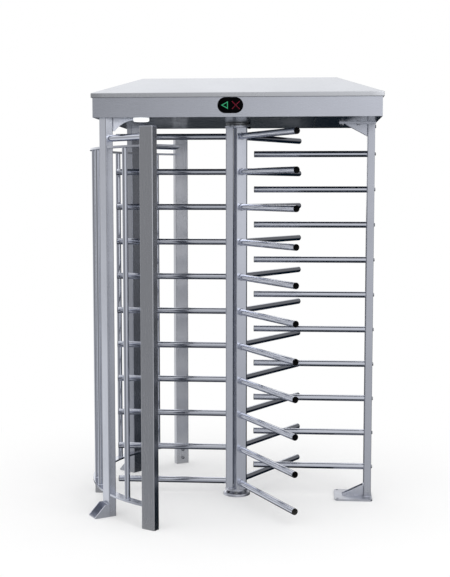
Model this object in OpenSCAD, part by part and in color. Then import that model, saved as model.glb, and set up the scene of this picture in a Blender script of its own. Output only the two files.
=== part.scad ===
// Full height turnstile: a three-wing rotor of round bars, a comb barrier on the right,
// a curved cage of tubes on the left, and a canopy that holds the drive head.
// Origin: the rotor axis on the floor. +X towards the comb post, +Y away from the entry side, +Z up.

/* [Rotor] */
// Arms on each of the three wings
arm_count = 11; // [6:1:11]
// Height step from one arm of a wing to the next
arm_pitch = 190; // [175:5:190]
// Height of the lowest arm's axis above the floor
first_arm_z = 74; // [70:1:80]
// Distance from the rotor axis to the end of an arm
arm_tip_r = 662; // [600:1:670]
// Outer diameter of the arms, the comb bars and the tie tubes
tube_d = 33.7; // [30:0.1:35]
// Wall of the round tubes
tube_wall = 2.5; // [1.5:0.1:3]
// Width of a column tube across the wing
column_w = 60; // [50:1:60]
// Depth of a column tube along the wing
column_d = 40; // [36:1:44]
// Distance from the rotor axis to a column tube's inner face
column_in_r = 19; // [18:0.5:22]

/* [Comb barrier] */
// Position of the free ends of the comb bars
bar_free_x = 92.6; // [85:0.1:110]
// Position of the post's face that the bars enter
right_post_x = 700; // [690:1:700]
// Anchor holes in the right foot plate, from hole to hole along X
foot_hole_dx = 171; // [150:1:171]
// Anchor holes in the right foot plate, from hole to hole along Y
foot_hole_dy = 172; // [150:1:172]
// Diameter of the anchor holes in all the feet
anchor_hole_d = 14; // [10:1:16]

/* [Cage] */
// Distance from the rotor axis to the middle of the cage posts
cage_r = 775; // [770:1:780]
// Half of the arc that the cage covers
cage_half_arc = 60; // [56:1:60]
// Angle from the cage's middle to the two posts that carry the canopy
cage_post_angle = 35; // [33:1:36]
// Width of a post face along the cage
post_w = 80; // [70:1:80]
// Thickness of a post
post_t = 40; // [36:1:44]
// Height of the free-standing end posts with their caps
end_post_h = 1995; // [1950:5:2000]
// Height of the tie tubes' axes
tie_z = 1944; // [1930:1:1960]
// Diameter of the upright cage tubes
cage_tube_d = 28; // [22:1:30]
// Underside of the lower rail
lower_rail_z = 112; // [100:1:130]
// Underside of the upper rail
upper_rail_z = 1895; // [1880:1:1900]

/* [Canopy] */
// Length of the canopy along X
canopy_w = 1438; // [1430:1:1440]
// Depth of the canopy along Y
canopy_d = 1020; // [1016:1:1024]
// Offset of the canopy's middle towards the comb post
canopy_cx = 29; // [28:1:30]
// Height of the canopy's underside
canopy_z = 2046; // [2040:1:2060]
// Height of the fascia panels
fascia_h = 114; // [110:1:118]
// Height of the lid's upright lip
lid_lip_h = 22; // [18:1:24]
// Distance that the lid stands out past the fascia
lid_overhang = 8; // [6:0.5:10]
// Rise of the lid from its lip to its flat top
roof_rise = 92; // [70:1:100]
// Horizontal run of the lid's slopes
roof_inset = 228; // [200:1:240]

/* [Drive head] */
// Radius of the two ratchet wheels
ratchet_r = 90; // [88:1:90]
// Teeth of a ratchet wheel
ratchet_teeth = 12; // [12]
// Depth of a ratchet tooth
ratchet_depth = 10; // [9:0.5:10]
// Swing of a pawl from free to locked, in degrees
pawl_swing = 11; // [11]
// Gear module of the damper gears
gear_module = 2.5; // [2.5]
// Teeth of the gear on the rotor shaft
gear_teeth = 60; // [60]
// Teeth of the damper's pinion
pinion_teeth = 24; // [24]

/* [Hidden] */
$fn = 48;
eps = 0.01;
tube_r = tube_d / 2;
wing_angles = [180, -60, 60];
bar_count = arm_count - 1;
first_bar_z = first_arm_z + arm_pitch / 2;
fit_gap = 0.2;
plug_head = 3;
plug_stem = 17;
column_z0 = 38;
column_z1 = canopy_z - 24;
column_wall = 3;
column_out_r = column_in_r + column_d;
plate_r = 66;
top_plate_t = 8;
bottom_plate_r = 62;
end_bolt_r = 42;
stud_r = 6;
stud_hole_r = 6.3;
shaft_r = 20;
shaft_neck_r = 16;
shaft_flange_r = 61;
shaft_flange_t = 8;
shaft_flange_z = canopy_z - 10;
key_x = 10;
key_w = 10;
key_out = 23.5;

// The floor flange and the lower pivot
flange_r = 74;
flange_h = 15;
flange_round = 7;
boss_r = 30;
boss_top = 24;
pin_r = 12.5;
pin_z = 6;
pin_taper = 2;
pin_gap = 0.06;
bush_r = 17;
bush_flange_r = 22;
bush_flange_t = 3.2;
flange_bolt_r = 57;
flange_bolt_h = 11;
flange_bolt_angles = [-90, 30, 150];

// Posts, rails and brackets
post_wall = 3;
post_in_r = cage_r - post_t / 2;
post_out_r = cage_r + post_t / 2;
rail_in_r = post_in_r - 10;
rail_out_r = post_out_r - 3;
rail_t = 10;
rail_lap = 1;
cage_tube_r = cage_tube_d / 2;
cage_tube_ring = (rail_in_r + rail_out_r) / 2;
carry_angles = [180 - cage_post_angle, 180 + cage_post_angle];
end_angles = [180 - cage_half_arc, 180 + cage_half_arc];
cap_t = 5;
bracket_l = 78;
bracket_h = 65;
bracket_flat = 22;
bracket_tip = 8;
bracket_t = 5;
bracket_hole = 45;
head_bracket_l = 114;
head_bracket_hole = 98;
head_arc_r = 150;
stub_in_r = 750;
front_end_bolt_z = 120;
back_end_bolt_z = [87, 38];
stub_bolt_z = 22;

// The right post with its foot and head
right_post_out = right_post_x + post_t;
foot_x0 = 541;
foot_x1 = 746;
foot_half_y = 103;
foot_t = 10;
foot_cx = (foot_x0 + foot_x1) / 2;
foot_corner = 20;
foot_gusset_l = 120;
foot_gusset_h = 62;
head_x0 = 550;
head_x1 = 744;
head_half_y = 44;
head_t = 8;
head_gusset_l = 115;
head_gusset_h = 64;
gusset_half = 21;
gusset_t = 4;
gusset_toe = 6;
post_top_bolt_z = canopy_z - head_t - 12;

// Hexagon bolts: the corner radius and height of the head, and the shank radius
hex_r = 9.8;
hex_h = 7;
shank_r = 5;
small_hex_r = 7.5;
small_hex_h = 5.5;
small_shank_r = 4;
nut_h = 8;
bolt_end = 10;
hole_gap = 0.3;

// The canopy
sheet = 2;
half_w = canopy_w / 2;
half_d = canopy_d / 2;
canopy_x0 = canopy_cx - half_w;
canopy_x1 = canopy_cx + half_w;
inner_x0 = canopy_x0 + sheet;
inner_x1 = canopy_x1 - sheet;
fascia_top = canopy_z + fascia_h;
lid_lip_z = fascia_top - 16;
eaves_z = lid_lip_z + lid_lip_h;
return_w = 12;
pan_top = canopy_z + sheet;
beam_h = 40;
beam_w = 60;
beam_y = 130;
cross_w = 80;
beam_top = pan_top + beam_h;
pad_t = 8;
seam_x = 418;
seam_gap = 3;
ceiling_bore_r = 27;
right_pad_x = 545;
left_pad_l = 88;
left_pad_y = [350, 440];

// The lid's hinges on the far side: knuckles round a pin, leaves on the fascia and on the lid
hinge_starts = [-450, 400];
hinge_l = 100;
hinge_end_l = 30;
hinge_r = 6;
hinge_y = half_d + lid_overhang + hinge_r;
hinge_z = lid_lip_z - hinge_r;
hinge_pin_r = 2.5;
leaf_t = 2.5;
leaf_h = 38;

// The lid's cam locks in the short fascias, and the strikers that they hold
lock_y = -400;
lock_z = canopy_z + 72;
lock_flange_r = 13;
lock_flange_t = 3;
lock_barrel_r = 9.5;
lock_core_r = 6.5;
lock_barrel_l = 14;
lock_cam_x = 18;
lock_cam_t = 3;
lock_cam_w = 14;
lock_cam_l = 25;
striker_x = 24;
striker_y = lock_y + 12;
striker_w = 32;
striker_lip_z = lock_z - lock_cam_w / 2 - 5;
striker_lip_t = 3;
striker_lip_l = 8;

// The ceiling lamp
lamp_x = -452;
lamp_y = -462;
lamp_r = 40.5;
lamp_h = 19;
lamp_round = 9;
lamp_neck_r = 30;
lamp_body_r = 34;
lamp_body_h = 26;

// The indicator in the middle of each long fascia
pill_w = 127;
pill_h = 78;
pill_z = canopy_z + 57.5;
pill_proud = 2.5;
unit_w = 104;
unit_h = 70;
unit_l = 30;
glyph_t = 0.5;
arrow_x = -29;
arrow_w = 34;
cross_x = 27;
glyph_h = 38;
glyph_stroke = 4;
dot_step = 4.4;
dot_r = 1.5;

// The drive head, stacked on its base plate
base_t = 8;
base_half_x = 215;
base_half_y = 158;
base_top = beam_top + base_t;
base_bore_r = 30;
base_bolt_x = 200;
housing_flange_r = 66;
housing_flange_t = 9;
housing_r = 48;
housing_h = 30;
housing_bolt_r = 57;
bearing_z = base_top + 8;
bearing_h = 18;
bearing_r = 40;
race_out_in = 33.5;
race_in_out = 26.5;
ball_ring = 30;
ball_r = 6;
ball_count = 9;
groove_r = 6.2;
gear_z = base_top + 40;
gear_t = 12;
gear_bore_gap = 0.04;
lower_ratchet_z = gear_z + gear_t + 4;
ratchet_t = 8;
upper_ratchet_z = lower_ratchet_z + 16;
gear_hole_ring = 49;
gear_hole_r = 11;
ratchet_hole_ring = 54;
ratchet_hole_r = 13;
spacer_r = 26;
hub_r = 30;
shaft_nut_h = 10;
shaft_top = upper_ratchet_z + ratchet_t + 14;
gear_pitch_r = gear_module * gear_teeth / 2;
pinion_pitch_r = gear_module * pinion_teeth / 2;
damper_y = -(gear_pitch_r + pinion_pitch_r);
damper_r = 36;
damper_h = 32;
damper_shaft_r = 8;
damper_step_h = 6;
damper_step_in = 8;
pinion_hub_r = 14;
backlash = 0.12;

// The pawls and their solenoids, drawn for the entry side and mirrored for the exit side
pawl_x = 100;
pawl_y = 62;
pawl_w = 14;
pawl_nose = [83.2, 95];
pawl_nose_y = [-5, 4.8];
tail_y = -20;
link_r = 3;
ratchet_face = 3.7;
pivot_r = 5;
pivot_post_r = 9;
pivot_head_r = 8;
pivot_head_t = 3;
pawl_hub_r = 12;
link_h = 7.5;
link_rest = [pawl_x - (tail_y - pawl_y) * sin(pawl_swing), pawl_y + (tail_y - pawl_y) * cos(pawl_swing)];
coil_x = 150;
coil_l = 46;
coil_w = 36;
coil_leg_t = 3;
plunger_r = 7;
plunger_lift = 3.5;
plunger_y = link_rest[1] - 0.75;
tongue_w = 18;
tongue_t = 6;
tongue_end = coil_x - 18;
spring_turns = 4;
spring_wire = 1.6;
spring_pitch = 2.6;
spring_r = 11;
spring_steps = 8;
spring_sides = 6;
spring_top = 2;

// The position magnet on the rotor and the sensor above it
magnet_ring = 71;
magnet_angle = -16;
magnet_r = 7;
magnet_z = column_z1 - 8;
magnet_h = 12;
sensor_z = canopy_z - 6;
sensor_r = 6;
sensor_l = 48;
sensor_nut_h = 5;

// The control unit and the power supply across the main beams
control_x = -440;
control_w = 240;
control_l = 310;
control_h = 52;
control_lid_t = 6;
control_lid_in = 6;
supply_x = 370;
supply_w = 140;
supply_l = 290;
supply_h = 40;
fin_w = 8;
fin_l = 120;
fin_h = 4;
fin_pitch = 24;

// Bolts that hold the canopy to the post brackets: the right head, then the two left brackets
head_bolts = [[565, 30], [565, -30], [652, 32], [652, -32]];
left_bolt_r = post_in_r - head_bracket_hole;
left_bolts = [for (a = carry_angles) [left_bolt_r * cos(a), left_bolt_r * sin(a)]];

// General shapes

// An upright bar with rounded edges, centred on the Z axis
module round_bar(w, d, h, r) {
    union() {
        translate([-w / 2 + r, -d / 2, 0]) cube([w - 2 * r, d, h]);
        translate([-w / 2, -d / 2 + r, 0]) cube([w, d - 2 * r, h]);
        for (x = [-1, 1], y = [-1, 1])
            translate([x * (w / 2 - r), y * (d / 2 - r), 0]) cylinder(h = h, r = r);
    }
}

// An upright rectangular tube with rounded edges
module box_tube(w, d, h, wall, r) {
    difference() {
        round_bar(w, d, h, r);
        translate([0, 0, -1]) round_bar(w - 2 * wall, d - 2 * wall, h + 2, r - wall / 2);
    }
}

// A round tube along +X that starts at the origin
module x_tube(l, r, wall) {
    rotate([0, 90, 0])
    difference() {
        cylinder(h = l, r = r);
        translate([0, 0, -1]) cylinder(h = l + 2, r = r - wall);
    }
}

// A plastic plug for a tube that runs along +X and ends at the plug's head
module x_plug(r, wall) {
    rotate([0, 90, 0])
    union() {
        translate([0, 0, -plug_head]) cylinder(h = plug_head, r1 = r, r2 = r);
        translate([0, 0, -plug_head - plug_stem]) cylinder(h = plug_stem + eps, r = r - wall - fit_gap);
    }
}

// A hexagon bolt whose head stands on the XY plane and whose shank points down
module hex_bolt(shank_l, head_r = hex_r, head_h = hex_h, r = shank_r) {
    union() {
        cylinder(h = head_h, r = head_r, $fn = 6);
        translate([0, 0, -shank_l]) cylinder(h = shank_l + eps, r = r);
    }
}

// A flat ring about the Z axis
module ring(z, h, r_in, r_out) {
    translate([0, 0, z])
    difference() {
        cylinder(h = h, r = r_out);
        translate([0, 0, -1]) cylinder(h = h + 2, r = r_in);
    }
}

// The canopy's outline block: upright sides to the eaves, then four slopes up to a flat top
module roof_block(inward, z0) {
    hx = half_w + lid_overhang - inward;
    hy = half_d + lid_overhang - inward;
    ez = eaves_z - inward;
    tz = eaves_z + roof_rise - inward;
    intersection() {
        translate([canopy_cx, hy, 0])
            rotate([90, 0, 0])
            linear_extrude(2 * hy)
            polygon([[-hx, z0], [hx, z0], [hx, ez], [hx - roof_inset, tz], [roof_inset - hx, tz], [-hx, ez]]);
        translate([canopy_cx - hx, 0, 0])
            rotate([90, 0, 90])
            linear_extrude(2 * hx)
            polygon([[-hy, z0], [hy, z0], [hy, ez], [hy - roof_inset, tz], [roof_inset - hy, tz], [-hy, ez]]);
    }
}

// Three-sided bracket: two cheeks, a base with one anchor hole, and a back plate.
// It starts on the YZ plane and grows along +X, with its base on the XY plane.
module angle_bracket() {
    half = post_w / 2;
    difference() {
        union() {
            for (y = [-half, half - bracket_t])
                translate([0, y + bracket_t, 0])
                rotate([90, 0, 0])
                linear_extrude(bracket_t)
                polygon([[0, 0], [bracket_l, 0], [bracket_l, bracket_tip],
                         [bracket_flat, bracket_h], [0, bracket_h]]);
            translate([0, -half, 0]) cube([bracket_l, post_w, bracket_t]);
            translate([0, -half, 0]) cube([bracket_t, post_w, bracket_h]);
        }
        translate([bracket_hole, 0, -1]) cylinder(h = bracket_t + 2, d = anchor_hole_d);
    }
}

// A flat outline whose edge from a to b is hollowed to an arc. The hollow is on the left of that edge.
module hollowed(outline, a, b, r) {
    edge = b - a;
    side = [-edge[1], edge[0]] / norm(edge);
    reach = sqrt(r * r - norm(edge) * norm(edge) / 4);
    difference() {
        polygon(outline);
        translate((a + b) / 2 + side * reach) circle(r = r, $fn = 180);
    }
}

// Longer bracket of the same kind whose cheeks are cut to an arc, for under the canopy
module arc_bracket() {
    half = post_w / 2;
    near = [bracket_flat / 2, bracket_h];
    far = [head_bracket_l, bracket_tip];
    union() {
        for (y = [-half, half - bracket_t])
            translate([0, y + bracket_t, 0])
            rotate([90, 0, 0])
            linear_extrude(bracket_t)
            hollowed([[0, 0], far - [0, bracket_tip], far, near, [0, bracket_h]], near, far, head_arc_r);
        translate([0, -half, 0]) cube([head_bracket_l, post_w, bracket_t]);
        translate([0, -half, 0]) cube([bracket_t, post_w, bracket_h]);
    }
}

// Two gusset cheeks against the right post, growing along -X and rising from z = 0.
// They stay low enough for the lowest and the highest arms to pass clear of them.
module gusset_pair(l, h) {
    union() {
        for (y = [-gusset_half, gusset_half - gusset_t])
            translate([0, y + gusset_t, 0])
            rotate([90, 0, 0])
            linear_extrude(gusset_t)
            polygon([[0, 0], [0, h], [gusset_toe - l, gusset_toe], [-l, 0]]);
        translate([-gusset_t, -gusset_half, 0]) cube([gusset_t, 2 * gusset_half, h]);
    }
}

// The block that a cage post fills, with a margin all round, used to trim rails and tubes
module post_space(angle, margin) {
    rotate([0, 0, angle])
        translate([post_in_r - margin, -post_w / 2 - margin, -1])
        cube([post_t + 2 * margin + 10, post_w + 2 * margin, canopy_z]);
}

// Involute gear outline: angles are in degrees, t is the involute's roll in radians
function roll_at(r, rb) = sqrt(max(0, (r / rb) * (r / rb) - 1));
function inv_angle(t) = t * 180 / PI - atan(t);
function polar(r, a) = [r * cos(a), r * sin(a)];
function gear_points(teeth, turn) =
    let (rp = gear_module * teeth / 2, rb = rp * cos(20), ra = rp + gear_module)
    let (rr = rp - 1.25 * gear_module, t0 = roll_at(max(rr, rb), rb), t1 = roll_at(ra, rb))
    let (half = 90 / teeth - backlash / rp * 180 / PI / 2 + inv_angle(roll_at(rp, rb)))
    let (rolls = [for (i = [0:4]) t0 + (t1 - t0) * i / 4])
    [for (k = [0:teeth - 1]) let (c = turn + 360 * k / teeth) each concat(
        [polar(rr, c - half)],
        [for (t = rolls) polar(rb * sqrt(1 + t * t), c - half + inv_angle(t))],
        [for (i = [4:-1:0]) polar(rb * sqrt(1 + rolls[i] * rolls[i]), c + half - inv_angle(rolls[i]))],
        [polar(rr, c + half)])];

// Saw-tooth outline: the radius falls along each tooth and jumps back at a radial face
function ratchet_points() = [for (k = [0:ratchet_teeth - 1], i = [0:5])
    let (pitch = 360 / ratchet_teeth)
    polar(ratchet_r - ratchet_depth * i / 5, ratchet_face + pitch * (k + i / 5))];

// The key slot shared by everything that the shaft turns
module key_slot(z, h) {
    translate([0, -key_w / 2 - fit_gap, z - 1]) cube([key_out + hole_gap, key_w + 2 * fit_gap, h + 2]);
}

// Floor flange and lower pivot

// Round floor flange with a rounded rim, a boss for the pivot and three bolt holes
module floor_flange() {
    color("silver")
    difference() {
        intersection() {
            union() {
                cylinder(h = flange_h, r = flange_r - flange_round);
                cylinder(h = flange_h - flange_round, r = flange_r);
                translate([0, 0, flange_h - flange_round])
                    rotate_extrude() translate([flange_r - flange_round, 0]) circle(r = flange_round);
                cylinder(h = boss_top, r = boss_r);
            }
            cylinder(h = boss_top, r = flange_r + 1);
        }
        translate([0, 0, pin_z]) cylinder(h = boss_top, r = pin_r + 0.03);
        for (a = flange_bolt_angles)
            rotate([0, 0, a]) translate([flange_bolt_r, 0, -1]) cylinder(h = flange_h + 2, r = stud_hole_r);
    }
}

// Hardened pin that the rotor turns on at the floor
module pivot_pin() {
    color("gray")
    union() {
        translate([0, 0, pin_z]) cylinder(h = column_z0 - pin_taper - pin_z, r = pin_r);
        translate([0, 0, column_z0 - pin_taper]) cylinder(h = pin_taper, r1 = pin_r, r2 = pin_r - pin_taper);
    }
}

// Flanged bronze bush pressed into the rotor's bottom plate
module pivot_bush() {
    color("goldenrod")
    difference() {
        union() {
            translate([0, 0, boss_top + 0.3]) cylinder(h = bush_flange_t, r = bush_flange_r);
            translate([0, 0, boss_top + 3]) cylinder(h = column_z0 - boss_top - 3, r = bush_r);
        }
        cylinder(h = column_z0 + 1, r = pin_r + pin_gap);
    }
}

// Rotor

// Disc under the column tubes, bored for the bush
module rotor_bottom_plate() {
    z0 = boss_top + 4;
    color("silver")
    difference() {
        translate([0, 0, z0]) cylinder(h = column_z0 - z0, r = bottom_plate_r);
        cylinder(h = column_z0 + 1, r = bush_r + 0.04);
        for (a = wing_angles)
            rotate([0, 0, a]) translate([end_bolt_r, 0, 0]) cylinder(h = column_z0 + 1, r = stud_hole_r);
    }
}

// One column tube, standing at the angle of its wing, with a hole for each arm
module column_tube() {
    difference() {
        translate([column_in_r + column_d / 2, 0, column_z0])
            box_tube(column_d, column_w, column_z1 - column_z0, column_wall, 4);
        for (k = [0:arm_count - 1])
            translate([column_in_r + column_d / 2, 0, first_arm_z + k * arm_pitch])
            rotate([0, 90, 0])
            cylinder(h = column_d, r = tube_r + fit_gap);
    }
}

// The three column tubes
module rotor_columns() {
    color("silver")
    for (a = wing_angles)
        rotate([0, 0, a]) column_tube();
}

// The arms of the three wings: each runs from the column tube's inner wall out to its plug
module rotor_arms() {
    start = column_in_r + column_wall;
    color("lightgray")
    for (a = wing_angles, k = [0:arm_count - 1])
        rotate([0, 0, a])
        translate([start, 0, first_arm_z + k * arm_pitch])
        x_tube(arm_tip_r - plug_head - start, tube_r, tube_wall);
}

// Black plugs in the free ends of all the arms
module arm_plugs() {
    color([0.05, 0.05, 0.05])
    for (a = wing_angles, k = [0:arm_count - 1])
        rotate([0, 0, a])
        translate([arm_tip_r, 0, first_arm_z + k * arm_pitch])
        x_plug(tube_r, tube_wall);
}

// Disc on top of the column tubes
module rotor_top_plate() {
    color("silver")
    difference() {
        translate([0, 0, column_z1]) cylinder(h = top_plate_t, r = plate_r);
        for (k = [0:5])
            rotate([0, 0, 60 * k])
            translate([end_bolt_r, 0, column_z1 - 1])
            cylinder(h = top_plate_t + 2, r = stud_hole_r);
    }
}

// Studs and nuts between the top plate and the shaft flange, and the bottom plate's studs
module rotor_bolts() {
    plate_top = column_z1 + top_plate_t;
    color("gainsboro")
    for (k = [0:5])
        rotate([0, 0, 60 * k]) translate([end_bolt_r, 0, 0]) {
            union() {
                translate([0, 0, column_z1])
                    cylinder(h = shaft_flange_z + shaft_flange_t - column_z1, r = stud_r);
                translate([0, 0, plate_top]) cylinder(h = shaft_flange_z - plate_top, r = hex_r, $fn = 6);
            }
            if (k % 2 == 1) union() {
                translate([0, 0, boss_top + 4]) cylinder(h = 3 * nut_h, r = stud_r);
                translate([0, 0, column_z0]) cylinder(h = nut_h, r = hex_r, $fn = 6);
            }
        }
}

// Magnet in a black holder that grips the rim of the top plate
module position_magnet() {
    color([0.06, 0.06, 0.06])
    difference() {
        rotate([0, 0, magnet_angle])
            translate([magnet_ring, 0, magnet_z])
            cylinder(h = magnet_h, r = magnet_r);
        translate([0, 0, column_z1]) cylinder(h = top_plate_t, r = plate_r);
    }
}

// Flanged shaft that carries the rotor, with its key
module drive_shaft() {
    color("darkgray")
    difference() {
        union() {
            translate([0, 0, column_z1 + top_plate_t])
                cylinder(h = shaft_flange_z - column_z1, r = shaft_neck_r);
            translate([0, 0, shaft_flange_z]) cylinder(h = shaft_flange_t, r = shaft_flange_r);
            translate([0, 0, shaft_flange_z]) cylinder(h = shaft_top - shaft_flange_z, r = shaft_r);
            translate([key_x, -key_w / 2, gear_z])
                cube([key_out - key_x, key_w, upper_ratchet_z + ratchet_t - gear_z]);
        }
        for (k = [0:5])
            rotate([0, 0, 60 * k])
            translate([end_bolt_r, 0, shaft_flange_z - 1])
            cylinder(h = shaft_flange_t + 2, r = stud_hole_r);
    }
}

// Spacer rings between bearing, gear and ratchets, and the nut on top
module shaft_collars() {
    bore = shaft_r + gear_bore_gap;
    race_top = bearing_z + bearing_h;
    color("dimgray") {
        ring(race_top, gear_z - race_top, bore, spacer_r);
        difference() {
            union() {
                ring(gear_z + gear_t, lower_ratchet_z - gear_z - gear_t, bore, hub_r);
                ring(lower_ratchet_z + ratchet_t, upper_ratchet_z - lower_ratchet_z - ratchet_t, bore, hub_r);
            }
            key_slot(gear_z, shaft_top - gear_z);
        }
        difference() {
            translate([0, 0, upper_ratchet_z + ratchet_t]) cylinder(h = shaft_nut_h, r = hub_r, $fn = 6);
            cylinder(h = shaft_top, r = bore);
        }
    }
}

// Gear that turns the damper's pinion
module damper_gear() {
    color("slategray")
    difference() {
        translate([0, 0, gear_z]) linear_extrude(gear_t) polygon(gear_points(gear_teeth, 0));
        translate([0, 0, gear_z - 1]) cylinder(h = gear_t + 2, r = shaft_r + gear_bore_gap);
        key_slot(gear_z, gear_t);
        for (k = [0:5])
            rotate([0, 0, 30 + 60 * k])
            translate([gear_hole_ring, 0, gear_z - 1])
            cylinder(h = gear_t + 2, r = gear_hole_r);
    }
}

// Ratchet wheel with radial faces on one side of its teeth
module ratchet(z) {
    difference() {
        translate([0, 0, z]) linear_extrude(ratchet_t) polygon(ratchet_points());
        translate([0, 0, z - 1]) cylinder(h = ratchet_t + 2, r = shaft_r + gear_bore_gap);
        for (k = [0:5])
            rotate([0, 0, 60 * k + 30])
            translate([ratchet_hole_ring, 0, z - 1])
            cylinder(h = ratchet_t + 2, r = ratchet_hole_r);
    }
}

// Ratchet that stops the rotor in the entry direction
module entry_ratchet() {
    color("darkslategray")
    difference() {
        ratchet(upper_ratchet_z);
        key_slot(upper_ratchet_z, ratchet_t);
    }
}

// Ratchet that stops the rotor in the exit direction
module exit_ratchet() {
    color("darkslategray")
    difference() {
        mirror([1, 0, 0]) ratchet(lower_ratchet_z);
        key_slot(lower_ratchet_z, ratchet_t);
    }
}

// Drive head on the base plate

// Outer race and balls of the main bearing
module bearing_outer_race() {
    mid = bearing_z + bearing_h / 2;
    color("lightsteelblue") {
        difference() {
            ring(bearing_z, bearing_h, race_out_in, bearing_r);
            translate([0, 0, mid]) rotate_extrude() translate([ball_ring, 0]) circle(r = groove_r);
        }
        for (k = [0:ball_count - 1])
            rotate([0, 0, 360 / ball_count * k]) translate([ball_ring, 0, mid]) sphere(r = ball_r);
    }
}

// Inner race of the main bearing
module bearing_inner_race() {
    mid = bearing_z + bearing_h / 2;
    color("lightsteelblue")
    difference() {
        ring(bearing_z, bearing_h, shaft_r + 0.02, race_in_out);
        translate([0, 0, mid]) rotate_extrude() translate([ball_ring, 0]) circle(r = groove_r);
    }
}

// Flanged housing that holds the main bearing
module bearing_housing() {
    color("steelblue")
    difference() {
        union() {
            translate([0, 0, base_top]) cylinder(h = housing_flange_t, r = housing_flange_r);
            translate([0, 0, base_top]) cylinder(h = housing_h, r = housing_r);
        }
        translate([0, 0, base_top - 1]) cylinder(h = housing_h + 2, r = 34);
        translate([0, 0, bearing_z]) cylinder(h = housing_h, r = bearing_r + 0.03);
        for (a = [45:90:315])
            rotate([0, 0, a])
            translate([housing_bolt_r, 0, base_top - 1])
            cylinder(h = housing_flange_t + 3, r = small_shank_r + hole_gap);
    }
}

// Rotary oil damper
module damper_body() {
    color("dimgray")
    translate([0, damper_y, base_top])
    difference() {
        union() {
            cylinder(h = damper_h - damper_step_h, r = damper_r);
            cylinder(h = damper_h, r = damper_r - damper_step_in);
        }
        translate([0, 0, 8]) cylinder(h = damper_h, r = damper_shaft_r + pin_gap);
    }
}

// Pinion and shaft of the damper
module damper_pinion() {
    foot_z = base_top + 10;
    color("slategray")
    translate([0, damper_y, 0])
    union() {
        translate([0, 0, gear_z + 0.5])
            linear_extrude(gear_t - 1)
            polygon(gear_points(pinion_teeth, 180 / pinion_teeth));
        translate([0, 0, foot_z]) cylinder(h = gear_z + gear_t + 2 - foot_z, r = damper_shaft_r);
        translate([0, 0, base_top + damper_h + 1])
            cylinder(h = gear_z - base_top - damper_h, r = pinion_hub_r);
    }
}

// One pawl at rest: drawn locked, then swung clear of its ratchet about its pivot
module pawl(z) {
    translate([pawl_x, pawl_y, z])
    rotate([0, 0, pawl_swing])
    translate([-pawl_x, -pawl_y, 0])
    difference() {
        union() {
            translate([pawl_x - pawl_w / 2, tail_y, 0]) cube([pawl_w, pawl_y - tail_y, ratchet_t]);
            translate([pawl_x, pawl_y, 0]) cylinder(h = ratchet_t, r = pawl_hub_r);
            translate([pawl_x, tail_y, 0]) cylinder(h = ratchet_t, r = pawl_w / 2);
            translate([pawl_x, tail_y, 0]) cylinder(h = ratchet_t + link_h, r = link_r);
            translate([pawl_nose[0], pawl_nose_y[0], 0])
                cube([pawl_nose[1] - pawl_nose[0], pawl_nose_y[1] - pawl_nose_y[0], ratchet_t]);
        }
        translate([pawl_x, pawl_y, -1]) cylinder(h = ratchet_t + 2, r = pivot_r + pin_gap);
    }
}

// Pawl that locks the upper ratchet
module entry_pawl() {
    color("tan") pawl(upper_ratchet_z);
}

// Pawl that locks the lower ratchet
module exit_pawl() {
    color("tan") mirror([1, 0, 0]) pawl(lower_ratchet_z);
}

// Stepped pivot post of one pawl, with a collar under its spring and a retaining head
module pivot_post(z) {
    collar_t = 3;
    collar_z = z - spring_top - spring_h - spring_wire / 2 - collar_t;
    translate([pawl_x, pawl_y, 0])
    union() {
        translate([0, 0, base_top]) cylinder(h = z - 0.4 - base_top, r = pivot_post_r);
        translate([0, 0, collar_z]) cylinder(h = collar_t, r = spring_r + 2);
        translate([0, 0, z - 1]) cylinder(h = ratchet_t + pivot_head_t + 1, r = pivot_r);
        translate([0, 0, z + ratchet_t + 0.5]) cylinder(h = pivot_head_t, r = pivot_head_r);
    }
}

// The two pivot posts
module pawl_pivots() {
    color("darkgray") {
        pivot_post(upper_ratchet_z);
        mirror([1, 0, 0]) pivot_post(lower_ratchet_z);
    }
}

// A coil's wire: rings of points round a helix, joined ring to ring and closed at both ends
function helix_at(i) = let (a = 360 * i / spring_steps)
    [spring_r * cos(a), spring_r * sin(a), spring_pitch * i / spring_steps];
function wire_ring(i) = let (a = 360 * i / spring_steps, p = helix_at(i))
    [for (j = [0:spring_sides - 1]) let (b = 360 * j / spring_sides)
        p + spring_wire / 2 * [cos(b) * cos(a), cos(b) * sin(a), sin(b)]];
spring_rings = spring_turns * spring_steps + 1;
spring_points = [for (i = [0:spring_rings - 1]) each wire_ring(i)];
spring_faces = concat(
    [[for (j = [0:spring_sides - 1]) j]],
    [for (i = [0:spring_rings - 2], j = [0:spring_sides - 1]) let (k = (j + 1) % spring_sides)
        [i * spring_sides + j, (i + 1) * spring_sides + j, (i + 1) * spring_sides + k]],
    [for (i = [0:spring_rings - 2], j = [0:spring_sides - 1]) let (k = (j + 1) % spring_sides)
        [i * spring_sides + j, (i + 1) * spring_sides + k, i * spring_sides + k]],
    [[for (j = [spring_sides - 1:-1:0]) (spring_rings - 1) * spring_sides + j]]);
spring_h = spring_turns * spring_pitch;
echo("least gap between two curls of a pawl spring, mm", spring_pitch - spring_wire);

// Coil springs round the pivot posts that swing the pawls clear
module pawl_springs() {
    color("gainsboro") {
        translate([pawl_x, pawl_y, upper_ratchet_z - spring_h - spring_top])
            polyhedron(spring_points, spring_faces);
        mirror([1, 0, 0])
            translate([pawl_x, pawl_y, lower_ratchet_z - spring_h - spring_top])
            polyhedron(spring_points, spring_faces);
    }
}

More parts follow.
